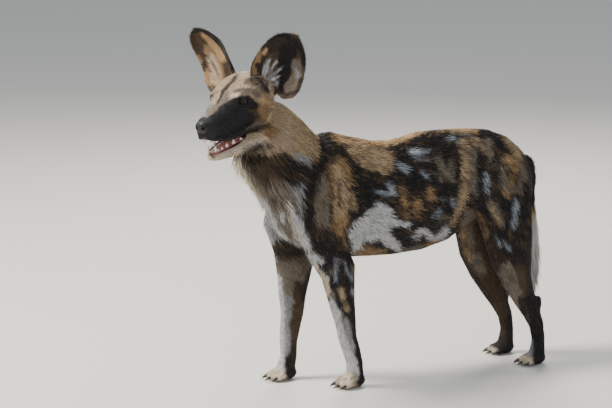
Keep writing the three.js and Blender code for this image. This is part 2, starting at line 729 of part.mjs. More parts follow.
// Legs, each in its lengths
for (const [name, side] of Object.entries(SIDES)) {
  const near = side < 0 ? -FAR : HALF_GAP;
  const far = side < 0 ? -HALF_GAP : FAR;
  const half = (x0, x1, z0, z1) => block(x0, x1, near, far, z0, z1);
  const parts = [
    ["forearm", half(-FAR, SPLIT_X, WRIST_CUT + HALF_GAP, FORE_CUT - HALF_GAP), MATERIALS.darkCoat],
    ["forepaw", half(-FAR, SPLIT_X, -FAR, WRIST_CUT - HALF_GAP), MATERIALS.paleCoat],
    ["shank", half(SPLIT_X, FAR, HOCK_CUT + HALF_GAP, KNEE_CUT - HALF_GAP), MATERIALS.darkCoat],
    ["hindpaw", half(SPLIT_X, FAR, -FAR, HOCK_CUT - HALF_GAP), MATERIALS.paleCoat],
  ];
  const thigh = hipPrism(-HALF_GAP).intersect(half(SPLIT_X, FAR, KNEE_CUT + HALF_GAP, FAR));
  addNode(dog, `thigh_${name}`, flesh.intersect(thigh), MATERIALS.darkCoat);
  for (const [part, region, material] of parts) {
    addNode(dog, `${part}_${name}`, flesh.intersect(region), material);
  }
}

// Tail
const tailCore = sweep(TAIL, { perSpan: 2, sides: 10 });
addNode(dog, "tail", cut(union([tailCore, ...brushLocks()]), [trunkBody(GAP)]), MATERIALS.paleCoat);

// Head with lids, lips and the hollow of the mouth
const headPieces = [skullSolid];
for (const side of Object.values(SIDES)) {
  headPieces.push(eyeBall(side, EYE_RADIUS + 2.6, 2));
}
const headCuts = [roofAt(0), noseBody(GAP)];
for (const side of Object.values(SIDES)) {
  headCuts.push(eyeBall(side, EYE_RADIUS + 2 * GAP, 2), lidOpening(side));
}
addNode(headGroup, "head", cut(union(headPieces), headCuts), MATERIALS.tanCoat);
for (const [name, side] of Object.entries(SIDES)) {
  addNode(headGroup, `eye_${name}`, eyeBall(side, EYE_RADIUS, 2), MATERIALS.eye);
  addNode(headGroup, `ear_${name}`, cut(ear(name), [skullMasses(GAP, null)]), MATERIALS.darkCoat);
}
addNode(headGroup, "nose", cut(noseBody(), Object.values(SIDES).map(nostril)), MATERIALS.noseLeather);

// Jaw, tongue and teeth, with the tongue and the gums resting in the hollows of the mouth
const troughAt = (grow) => (
  sweep(FLOOR_OF_MOUTH, { perSpan: 1, sides: 12, power: 2.4, grow, frame: jawSwing })
);
const headRoom = skullMasses(GAP, null);
const jawSolid = cut(lowerJawBody(0, jawSwing), [headRoom, troughAt(0)]);
const besideJaw = lowerJawBody(GAP, jawSwing).subtract(troughAt(-GAP));
const besideSkull = headRoom.subtract(roofAt(-GAP));
addNode(headGroup, "lower_jaw", jawSolid, MATERIALS.paleCoat);
const tongueSolid = sweep(TONGUE, { perSpan: 2, sides: 10, frame: jawSwing });
addNode(headGroup, "tongue", cut(tongueSolid, [besideJaw, besideSkull]), MATERIALS.mouth);
const lowerTeeth = cut(toothRow(-82, 1, 1, jawSwing), [besideJaw, besideSkull]);
addNode(headGroup, "teeth_lower", lowerTeeth, MATERIALS.teeth);
const upperTeeth = cut(toothRow(-70, -1, 1.06, null), [besideSkull, besideJaw]);
addNode(headGroup, "teeth_upper", upperTeeth, MATERIALS.teeth);

// The group's origin is midway along and across the dog, at the floor
const bounds = new THREE.Box3().setFromObject(dog, true);
const group = new THREE.Group();
dog.position.set(-(bounds.min.x + bounds.max.x) / 2, -(bounds.min.y + bounds.max.y) / 2, 0);
group.add(dog);

export default group;
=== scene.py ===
import math
import bmesh
import bpy
import numpy as np
from mathutils import Matrix, Vector


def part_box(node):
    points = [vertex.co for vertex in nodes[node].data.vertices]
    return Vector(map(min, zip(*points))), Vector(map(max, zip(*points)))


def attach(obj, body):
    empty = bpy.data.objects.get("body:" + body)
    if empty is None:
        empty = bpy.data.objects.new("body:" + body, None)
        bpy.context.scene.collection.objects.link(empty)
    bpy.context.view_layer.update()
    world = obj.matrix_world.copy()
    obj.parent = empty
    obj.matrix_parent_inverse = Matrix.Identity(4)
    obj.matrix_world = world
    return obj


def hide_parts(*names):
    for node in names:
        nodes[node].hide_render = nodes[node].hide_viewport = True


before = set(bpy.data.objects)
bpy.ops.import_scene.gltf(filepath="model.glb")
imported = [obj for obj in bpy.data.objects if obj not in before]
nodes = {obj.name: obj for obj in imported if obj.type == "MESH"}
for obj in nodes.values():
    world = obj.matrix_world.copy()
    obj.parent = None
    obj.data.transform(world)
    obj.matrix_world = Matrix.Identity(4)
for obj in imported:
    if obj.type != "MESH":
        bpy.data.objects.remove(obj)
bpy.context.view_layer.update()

# Where the dog stands, facing -X with its head turned to its left. Sizes are in millimetres in
# the dog's frame, which has the withers at x = -42 and the floor at zero, or in the head's
# frame, which lies midway between the eyes with the nose towards -X.
HEAD_PLACE = np.array([-321.0, -60.0, 708.0])
HEAD_YAW = 26
HEAD_PITCH = -7
HEAD_TURN = np.array(Matrix.Rotation(math.radians(HEAD_YAW), 3, "Z")
                     @ Matrix.Rotation(math.radians(HEAD_PITCH), 3, "Y"))
EYE_PLACE = np.array([1.0, 41.0, -1.0])
eye_boxes = [corner for side in ("left", "right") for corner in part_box(f"eye_{side}")]
between_eyes = np.mean([list(corner) for corner in eye_boxes], axis=0) * 1000
dog_place = between_eyes - HEAD_PLACE - HEAD_TURN @ (EYE_PLACE * [1, 0, 1])


def in_dog(points):
    return np.asarray(points, float) * 1000 - dog_place


def in_world(points):
    return (np.asarray(points, float) + dog_place) / 1000


def in_head(points):
    return (np.asarray(points, float) - HEAD_PLACE) @ HEAD_TURN


def from_head(points):
    return np.asarray(points, float) @ HEAD_TURN.T + HEAD_PLACE


def cleared():
    bpy.ops.object.select_all(action="DESELECT")


# Camera
# A long lens, far off to the dog's left and a little ahead of it, looks down on its side.
PICTURE = (612, 408)
VIEW_TARGET = np.array([-92.6, 0.0, 437.7])
VIEW_AZIMUTH = math.radians(-27)
VIEW_RISE = math.radians(10)
VIEW_DISTANCE = 6000
FOCAL_PIXELS = 2544
SENSOR = 36
to_camera = np.array([
    math.sin(VIEW_AZIMUTH) * math.cos(VIEW_RISE),
    -math.cos(VIEW_AZIMUTH) * math.cos(VIEW_RISE),
    math.sin(VIEW_RISE),
])
camera_right = np.array([math.cos(VIEW_AZIMUTH), math.sin(VIEW_AZIMUTH), 0])
camera_up = np.cross(to_camera, camera_right)
camera_place = VIEW_TARGET + to_camera * VIEW_DISTANCE
cleared()
bpy.ops.object.camera_add(location=in_world(camera_place))
camera = bpy.context.object
camera.name = "camera"
camera.rotation_euler = Vector(to_camera).to_track_quat("Z", "Y").to_euler()
camera.data.sensor_width = SENSOR
camera.data.lens = FOCAL_PIXELS * SENSOR / PICTURE[0]
camera.data.clip_end = 60
bpy.context.scene.camera = camera

# Floor and light
# A plain pale studio floor under a large soft light from above and ahead, with a weak
# light from the camera's side and one along the back.
FLOOR_SIZE = 40
FLOOR_COLOUR = (0.62, 0.61, 0.58, 1)
SKY_COLOUR = (0.88, 0.93, 1.0, 1)
SKY_STRENGTH = 0.6
LAMPS = [
    ("key", (-2.2, 0.8, 3.6), 1.1, 320, (1.0, 0.93, 0.82)),
    ("fill", (-1.6, -4.4, 1.6), 2.5, 70, (0.93, 0.96, 1.0)),
    ("back", (1.8, 2.6, 2.8), 1.5, 120, (1.0, 0.95, 0.88)),
]
LAMPS_AIM = Vector((-0.1, 0, 0.4))
cleared()
bpy.ops.mesh.primitive_plane_add(size=FLOOR_SIZE)
floor = bpy.context.object
floor.name = "floor"
floor_paint = bpy.data.materials.new("floor_paint")
floor_paint.use_nodes = True
floor_shader = floor_paint.node_tree.nodes["Principled BSDF"]
floor_shader.inputs["Base Color"].default_value = FLOOR_COLOUR
floor_shader.inputs["Roughness"].default_value = 0.9
floor.data.materials.append(floor_paint)
sky = bpy.data.worlds.new("studio")
sky.use_nodes = True
sky.node_tree.nodes["Background"].inputs["Color"].default_value = SKY_COLOUR
sky.node_tree.nodes["Background"].inputs["Strength"].default_value = SKY_STRENGTH
bpy.context.scene.world = sky
for name, place, size, power, colour in LAMPS:
    cleared()
    bpy.ops.object.light_add(type="AREA", location=place)
    lamp = bpy.context.object
    lamp.name = name
    lamp.data.size = size
    lamp.data.energy = power
    lamp.data.color = colour
    lamp.visible_glossy = name != "fill"
    lamp.rotation_euler = (Vector(place) - LAMPS_AIM).to_track_quat("Z", "Y").to_euler()

# Skin
# One without seams for the whole animal, its neck and tail as thin as under their long hair.
# NECK and TAIL rows are a place, the half width, and the reach above and below that place.
PLAIN_NODES = ["torso"]
for side in ("left", "right"):
    PLAIN_NODES += [f"{part}_{side}" for part in ("thigh", "shank", "hindpaw", "forearm", "forepaw")]
BRIDGE = 0.4
NECK = [
    (-266, -33, 686, 44, 44, 44), (-238, -26, 642, 56, 80, 66), (-202, -16, 590, 64, 100, 78),
    (-158, -6, 532, 72, 112, 84), (-108, 0, 482, 76, 118, 96),
]
TAIL = [
    (496, 0, 508, 14, 12, 12), (518, 0, 494, 15, 14, 14), (525, 0, 462, 15, 13, 13),
    (524, 0, 410, 12, 11, 11), (526, 0, 350, 10, 9.5, 9.5), (527, 0, 290, 10, 9.5, 9.5),
    (527, 0, 230, 8.5, 8.5, 8.5), (526, 0, 186, 5, 5, 5),
]
# Rows are a share of the ear's height and its reach inwards and outwards
EAR_OUTLINE = [
    (-0.04, 34, 32), (0.03, 48, 50), (0.14, 57, 65), (0.29, 61, 67), (0.48, 60, 59),
    (0.68, 53, 49), (0.85, 40, 35), (0.96, 24, 20), (1, 9, 8),
]
EAR_HEIGHT = 155
EAR_THICKNESS = 4
EAR_CROWN = 14
EAR_CROWN_FROM = 0.45
EAR_DEPTH = 16
EAR_RIM_LOW = 34
EAR_RIM_HIGH = 12
EAR_LEAN = {"left": 36, "right": 40}
EAR_TURN = 22
EAR_ROOT = np.array([78, 58, 16])
SIDES = {"left": -1, "right": 1}


def smooth_step(value, low, high):
    share = np.clip((value - low) / (high - low), 0, 1)
    return share * share * (3 - 2 * share)


def unit(vectors):
    return vectors / np.maximum(np.linalg.norm(vectors, axis=-1, keepdims=True), 1e-9)


def curve_through(rows, count):
    rows = np.array(rows, float)
    place = np.linspace(0, len(rows) - 1, count)
    span = np.minimum(place.astype(int), len(rows) - 2)
    part = (place - span)[:, None]
    ends = np.vstack([2 * rows[0] - rows[1], rows, 2 * rows[-1] - rows[-2]])
    a, b, c, d = (ends[span + step] for step in range(4))
    return 0.5 * (2 * b + (c - a) * part + (2 * a - 5 * b + 4 * c - d) * part ** 2
                  + (3 * b - a - 3 * c + d) * part ** 3)


def mesh_object(name, points, faces):
    mesh = bpy.data.meshes.new(name)
    mesh.from_pydata(np.asarray(points).tolist(), [], faces)
    piece = bpy.data.objects.new(name, mesh)
    bpy.context.scene.collection.objects.link(piece)
    return piece


def faced_out(piece):
    """The piece with all its faces turned outwards."""
    shape = bmesh.new()
    shape.from_mesh(piece.data)
    bmesh.ops.recalc_face_normals(shape, faces=shape.faces)
    shape.to_mesh(piece.data)
    shape.free()
    return piece


def lofted(name, rings):
    count, sides = len(rings), len(rings[0])
    faces = []
    for ring in range(count - 1):
        for side in range(sides):
            near, following = ring * sides + side, ring * sides + (side + 1) % sides
            faces.append((near, following, following + sides, near + sides))
    faces.append(tuple(range(sides))[::-1])
    faces.append(tuple(range((count - 1) * sides, count * sides)))
    return faced_out(mesh_object(name, in_world(np.concatenate(rings)), faces))


def tube_sections(rows, count):
    rings = curve_through(rows, count)
    along = unit(np.gradient(rings[:, :3], axis=0))
    across = unit(np.array([0, 1, 0]) - along * along[:, 1:2])
    return rings, along, across, np.cross(along, across)


def tube(name, rows, count, sides, power=2.1):
    rings, _, across, above = tube_sections(rows, count)
    angle = 2 * math.pi * (np.arange(sides) + 0.5) / sides
    out = np.sign(np.cos(angle)) * np.abs(np.cos(angle)) ** (2 / power)
    rise = np.sign(np.sin(angle)) * np.abs(np.sin(angle)) ** (2 / power)
    points = []
    for ring, side, high in zip(rings, across, above):
        reach = np.where(rise > 0, ring[4], ring[5])
        points.append(ring[:3] + np.outer(out * ring[3], side) + np.outer(rise * reach, high))
    return lofted(name, points)


def ear_axes(side):
    sign, lean = SIDES[side], math.radians(EAR_LEAN[side])
    tall = np.array([0, sign * math.sin(lean), math.cos(lean)])
    opening = np.array([-math.cos(math.radians(EAR_TURN)), sign * math.sin(math.radians(EAR_TURN)), 0.1])
    opening = unit(opening - tall * (opening @ tall))
    return EAR_ROOT * [1, sign, 1], tall, opening, np.cross(tall, opening) * -sign


def ear_bend(share, across):
    """How far the cup's inner face stands ahead of the ear's root, towards its opening."""
    rim = EAR_RIM_LOW + (EAR_RIM_HIGH - EAR_RIM_LOW) * smooth_step(share, 0, 0.6)
    crown = EAR_CROWN * np.maximum(0, (share - EAR_CROWN_FROM) / (1 - EAR_CROWN_FROM)) ** 2
    return rim * np.abs(across) ** 2.2 + crown - EAR_DEPTH


def ear_cup(side, rows=34, columns=22):
    root, tall, opening, outer = ear_axes(side)
    rings = []
    for share, inner, outward in curve_through(EAR_OUTLINE, rows):
        across = np.linspace(-1, 1, columns)
        reach = across * np.where(across < 0, inner, outward)
        face = root + tall * share * EAR_HEIGHT + np.outer(reach, outer)
        face = face + np.outer(ear_bend(share, across), opening)
        thick = EAR_THICKNESS * (1.3 - 0.4 * share) * (1 - 0.3 * across * across)
        back = face - np.outer(thick, opening)
        rings.append(from_head(np.vstack([face, back[::-1]])))
    return lofted(f"ear_cup_{side}", rings)


def merged_copy(name, swell):
    piece = bpy.data.objects.new(f"{name}_copy", nodes[name].data.copy())
    bpy.context.scene.collection.objects.link(piece)
    shape = bmesh.new()
    shape.from_mesh(piece.data)
    bmesh.ops.remove_doubles(shape, verts=shape.verts, dist=1e-5)
    shape.normal_update()
    for vertex in shape.verts:
        vertex.co += vertex.normal * swell / 1000
    shape.to_mesh(piece.data)
    shape.free()
    return piece


def joined(name, pieces):
    cleared()
    for piece in pieces:
        piece.select_set(True)
    bpy.context.view_layer.objects.active = pieces[0]
    bpy.ops.object.join()
    whole = bpy.context.object
    whole.name = name
    return whole


def picked(piece):
    cleared()
    piece.select_set(True)
    bpy.context.view_layer.objects.active = piece


def made_smooth(piece):
    picked(piece)
    bpy.ops.object.shade_smooth()


def with_modifier(piece, kind, **settings):
    picked(piece)
    modifier = piece.modifiers.new(kind.lower(), kind)
    for key, value in settings.items():
        setattr(modifier, key, value)
    bpy.ops.object.modifier_apply(modifier=modifier.name)


def evened(piece, voxel, rounds):
    """Meshes the piece anew in even cells and smooths it in a number of rounds."""
    with_modifier(piece, "REMESH", mode="VOXEL", voxel_size=voxel)
    with_modifier(piece, "SMOOTH", factor=0.5, iterations=rounds)


def ball(name, centre, radius, rings=16):
    cleared()
    bpy.ops.mesh.primitive_uv_sphere_add(segments=2 * rings, ring_count=rings, radius=radius / 1000,
                                         location=in_world(centre))
    bpy.ops.object.transform_apply(location=True, rotation=True, scale=True)
    bpy.context.object.name = name
    return bpy.context.object


EYE_RADIUS = 11
SOCKET_GAP = 1.2
NOSE_INSET = -0.9
BODY_VOXEL, HEAD_VOXEL, SKIN_VOXEL = 0.0034, 0.0015, 0.0017
eye_centres = {side: from_head(EYE_PLACE * [1, sign, 1]) for side, sign in SIDES.items()}
body = joined("body_base", [merged_copy(name, BRIDGE) for name in PLAIN_NODES]
              + [tube("neck_core", NECK, 40, 40), tube("tail_core", TAIL, 60, 20)])
evened(body, BODY_VOXEL, 14)
head = joined("head_base", [merged_copy(name, BRIDGE) for name in ("head", "lower_jaw")]
              + [merged_copy("nose", NOSE_INSET)]
              + [ear_cup(side) for side in SIDES]
              + [ball("socket", eye_centres[side], EYE_RADIUS + SOCKET_GAP) for side in SIDES])
evened(head, HEAD_VOXEL, 5)
skin = joined("skin", [body, head])
evened(skin, SKIN_VOXEL, 2)


def corners(piece):
    points = np.empty(len(piece.data.vertices) * 3)
    piece.data.vertices.foreach_get("co", points)
    return in_dog(points.reshape(-1, 3))


def normals(piece):
    turned = np.empty(len(piece.data.vertices) * 3, np.float32)
    piece.data.vertex_normals.foreach_get("vector", turned)
    return turned.reshape(-1, 3).astype(float)


def put_corners(piece, points):
    piece.data.vertices.foreach_set("co", in_world(points).ravel())
    piece.data.update()


# The skull and the ears keep more of their detail than the trunk when the skin is thinned
SKIN_TRIANGLES = 175000
THINNED_ON_BODY, THINNED_ON_HEAD = 0.75, 0.02
HEAD_ENDS_BEHIND, HEAD_ENDS_BELOW = 125, -140
at_head = in_head(corners(skin))
detail = (at_head[:, 0] < HEAD_ENDS_BEHIND) & (at_head[:, 2] > HEAD_ENDS_BELOW)
thinned = skin.vertex_groups.new(name="thinned")
thinned.add(np.nonzero(~detail)[0].tolist(), THINNED_ON_BODY, "REPLACE")
thinned.add(np.nonzero(detail)[0].tolist(), THINNED_ON_HEAD, "REPLACE")
triangles = sum(len(face.vertices) - 2 for face in skin.data.polygons)
with_modifier(skin, "DECIMATE", ratio=min(1, SKIN_TRIANGLES / triangles), vertex_group="thinned",
              vertex_group_factor=1.0, use_collapse_triangulate=True)
skin.vertex_groups.clear()

# Lie and depth of the coat
# The hair runs back from the nose, down the legs and along the ribs, short on the face and
# feet and longer on the neck. Rows are a place, the way the hair lies, its length and depth.
LIE_ON_BODY = [
    ((-42, 0, 608), (1, 0, -0.1), 17, 4), ((60, 0, 590), (1, 0, -0.1), 15, 4),
    ((180, 0, 580), (1, 0, 0.05), 15, 4), ((320, 0, 598), (1, 0, -0.05), 15, 4),
    ((450, 0, 570), (0.8, 0, -0.6), 16, 4), ((-60, -72, 520), (0.55, -0.1, -0.8), 15, 4),
    ((-95, -85, 430), (0.4, 0, -0.9), 14, 4), ((-60, -80, 330), (0.3, 0, -0.95), 12, 3.5),
    ((40, -82, 480), (0.9, 0, -0.4), 15, 4), ((120, -88, 430), (0.9, 0, -0.45), 15, 4),
    ((90, -75, 330), (0.9, 0.1, -0.4), 15, 4), ((150, 0, 298), (1, 0, 0), 14, 4),
    ((240, -75, 470), (0.9, 0, -0.4), 15, 4), ((240, -60, 330), (0.9, 0, -0.1), 15, 4),
    ((320, -70, 420), (0.75, 0, -0.6), 15, 4), ((400, -75, 510), (0.55, 0, -0.85), 15, 4),
    ((410, -100, 400), (0.35, 0, -0.95), 14, 4), ((490, -60, 400), (0.1, 0, -1), 18, 5),
    ((370, -85, 300), (0.35, 0, -0.95), 12, 3.5), ((450, -67, 215), (0.35, 0, -0.95), 9, 3),
    ((500, -67, 140), (0.15, 0, -1), 8, 2.5), ((515, -67, 60), (0, 0, -1), 7, 2),
    ((-180, 0, 410), (0.15, 0, -1), 22, 6), ((-120, -20, 340), (0.8, 0, -0.6), 16, 4),
    ((-45, -71, 240), (0.1, 0, -1), 9, 3), ((-20, -71, 150), (0.1, 0, -1), 8, 2.5),
    ((0, -71, 60), (0, 0, -1), 7, 2), ((-150, 71, 240), (0, 0, -1), 9, 3),
    ((-110, 71, 60), (0, 0, -1), 7, 2), ((-35, -71, 18), (-0.9, 0, -0.4), 5, 1.2),
    ((480, -67, 18), (-0.9, 0, -0.4), 5, 1.2), ((-145, 71, 18), (-0.9, 0, -0.4), 5, 1.2),
    ((-130, -16, 645), (0.75, 0, -0.5), 22, 3), ((-205, -80, 590), (0.6, 0.1, -0.75), 22, 2),
    ((-160, -85, 520), (0.6, 0, -0.8), 20, 3), ((-265, -20, 545), (0.4, 0, -0.9), 26, 1),
    ((-215, 0, 470), (0.3, 0, -0.95), 26, 2), ((522, 0, 494), (0.8, 0, -0.6), 18, 2),
    ((526, 0, 400), (0.02, 0, -1), 22, 1), ((527, 0, 250), (0.02, 0, -1), 30, 1),
]
LIE_ON_HEAD = [
    ((-85, 0, -22), (1, 0, 0.35), 4, 1), ((-60, -28, -45), (1, -0.15, -0.1), 4.5, 1),
    ((-40, 0, 0), (1, 0, 0.5), 5, 1.2), ((-20, -30, -20), (1, -0.3, 0.1), 5.5, 1.2),
    ((-50, -32, -68), (1, -0.1, -0.3), 5, 1.2), ((0, 0, 22), (1, 0, 0.4), 7, 1.6),
    ((5, -38, 12), (0.9, -0.2, 0.35), 6, 1.2), ((15, -52, -15), (1, -0.2, -0.1), 8, 1.6),
    ((40, 0, 45), (1, 0, 0.15), 10, 2), ((45, -55, -45), (0.8, -0.1, -0.5), 13, 2.2),
    ((50, -62, 5), (1, 0, 0.05), 10, 2), ((85, 0, 50), (1, 0, -0.1), 12, 2.5),
    ((90, -55, -40), (0.85, -0.1, -0.5), 18, 3), ((120, 0, 10), (0.7, 0, -0.6), 20, 3.5),
    ((-90, 0, -108), (1, 0, -0.2), 5, 1.2), ((-40, -22, -115), (1, -0.1, -0.3), 8, 1.6),
    ((20, -40, -100), (0.9, -0.1, -0.5), 14, 2), ((70, -40, -90), (0.7, 0, -0.7), 20, 3),
]


def mirrored_rows(rows, turn):
    places, ways, sizes = [], [], []
    for place, way, length, depth in rows:
        for sign in ((-1, 1) if place[1] else (1,)):
            flip = np.array([1, -sign if place[1] else 1, 1])
            places.append(np.array(place) * flip)
            ways.append(np.array(way, float) * flip)
            sizes.append((length, depth))
    places, ways = np.array(places, float), unit(np.array(ways, float))
    if turn:
        return from_head(places), ways @ HEAD_TURN.T, np.array(sizes, float)
    return places, ways, np.array(sizes, float)


body_rows, head_rows = mirrored_rows(LIE_ON_BODY, False), mirrored_rows(LIE_ON_HEAD, True)
lie_rows = [np.vstack(pair) for pair in zip(body_rows, head_rows)]
SKULL_STATIONS = [-4, 20, 48, 78, 104, 124]
SKULL_HALVES = [54, 62, 67, 63, 52, 35]
SKULL_MIDDLE, SKULL_ABOVE, SKULL_BELOW = -7, 52, 62
EAR_SKIN_DEPTH = 0.5


def coat_lie(points):
    """The way the hair lies, its length and its depth at each point, in millimetres."""
    away = np.linalg.norm(points[:, None, :] - lie_rows[0][None], axis=2)
    weight = 1 / (away + 6) ** 3.5
    weight /= weight.sum(axis=1, keepdims=True)
    return unit(weight @ lie_rows[1]), weight @ lie_rows[2]


def ear_of(points):
    """On which ear each point lies: 0 on the left one, 1 on the right one, -1 on neither."""
    place = in_head(points)
    which = np.full(len(points), -1)
    wide = np.abs(place[:, 1]) / np.interp(place[:, 0], SKULL_STATIONS, SKULL_HALVES)
    above = np.where(place[:, 2] > SKULL_MIDDLE, SKULL_ABOVE, SKULL_BELOW)
    skull = wide ** 2.2 + (np.abs(place[:, 2] - SKULL_MIDDLE) / above) ** 2.2 < 1.12
    rows = np.array(EAR_OUTLINE)
    for index, side in enumerate(SIDES):
        root, tall, opening, outer = ear_axes(side)
        from_root = place - root
        height, sideways = from_root @ tall / EAR_HEIGHT, from_root @ outer
        reach = np.where(sideways < 0, np.interp(height, rows[:, 0], rows[:, 1]),
                         np.interp(height, rows[:, 0], rows[:, 2]))
        across = np.clip(sideways / reach, -1, 1)
        behind = ear_bend(height, across) - from_root @ opening
        inside = (height > -0.09) & (height < 1.06) & (np.abs(sideways) < reach + 6)
        inside &= (behind > -7) & (behind < 13) & ~skull & (np.sign(place[:, 1]) == SIDES[side])
        which[inside] = index
    return which


points = corners(skin)
size = coat_lie(points)[1]
depth = np.where(ear_of(points) >= 0, EAR_SKIN_DEPTH, size[:, 1])
points -= normals(skin) * depth[:, None]

# Lids and eye openings
# Each lid lies close on the eye. The opening is an almond, higher at its outer corner.
LID_REACH = 13.5
LID_RISE = 4.8
LID_TILT = 0.2
LID_DEPTH = 2.2
LID_SPREAD = 22
FINE_MESH = 0.021
OPENING_DEPTH = -1.6
SIGHT = np.array([-0.72, 0.69, 0.06])


def eye_axes(side):
    sight = unit(SIGHT * [1, SIDES[side], 1])
    flat = unit(np.cross([0, 0, 1], sight))
    high = np.cross(sight, flat)
    cosine, sine = math.cos(LID_TILT), -SIDES[side] * math.sin(LID_TILT)
    flat, high = flat * cosine + high * sine, high * cosine - flat * sine
    return sight @ HEAD_TURN.T, flat @ HEAD_TURN.T, high @ HEAD_TURN.T


put_corners(skin, points)
shape = bmesh.new()
shape.from_mesh(skin.data)
for side in SIDES:
    centre = Vector(in_world(eye_centres[side]))
    near = [edge for edge in shape.edges if (edge.verts[0].co - centre).length < FINE_MESH]
    bmesh.ops.subdivide_edges(shape, edges=near, cuts=1, use_grid_fill=True)
bmesh.ops.triangulate(shape, faces=shape.faces)
shape.to_mesh(skin.data)
shape.free()
points = corners(skin)
lid_dark = np.zeros(len(points))
for side in SIDES:
    sight, flat, high = eye_axes(side)
    offset = points - eye_centres[side]
    reach = np.linalg.norm(offset, axis=1)
    across, up, ahead = offset @ flat, offset @ high, offset @ sight
    bow = 1 - np.clip(np.abs(across) / LID_REACH, 0, 1) ** 2
    gap = np.where(up > 0, up / (LID_RISE * bow + 1e-6), -up / (LID_RISE * 0.85 * bow + 1e-6))
    inside = (np.abs(across) < LID_REACH) & (ahead > 0) & (reach < LID_SPREAD)
    opening = np.where(inside, 1 - smooth_step(gap, 0.9, 1.3), 0)
    close = (reach < LID_SPREAD) & (ahead > -4)
    closed = np.maximum(reach, EYE_RADIUS + LID_DEPTH)
    target = closed * (1 - opening) + (EYE_RADIUS + OPENING_DEPTH) * opening
    points = np.where(close[:, None], eye_centres[side] + offset * (target / reach)[:, None], points)
    lid_dark = np.maximum(lid_dark, np.where(close, 1 - smooth_step(gap, 1.2, 2.0), 0))
put_corners(skin, points)
skin_points = points
skin_normals = normals(skin)

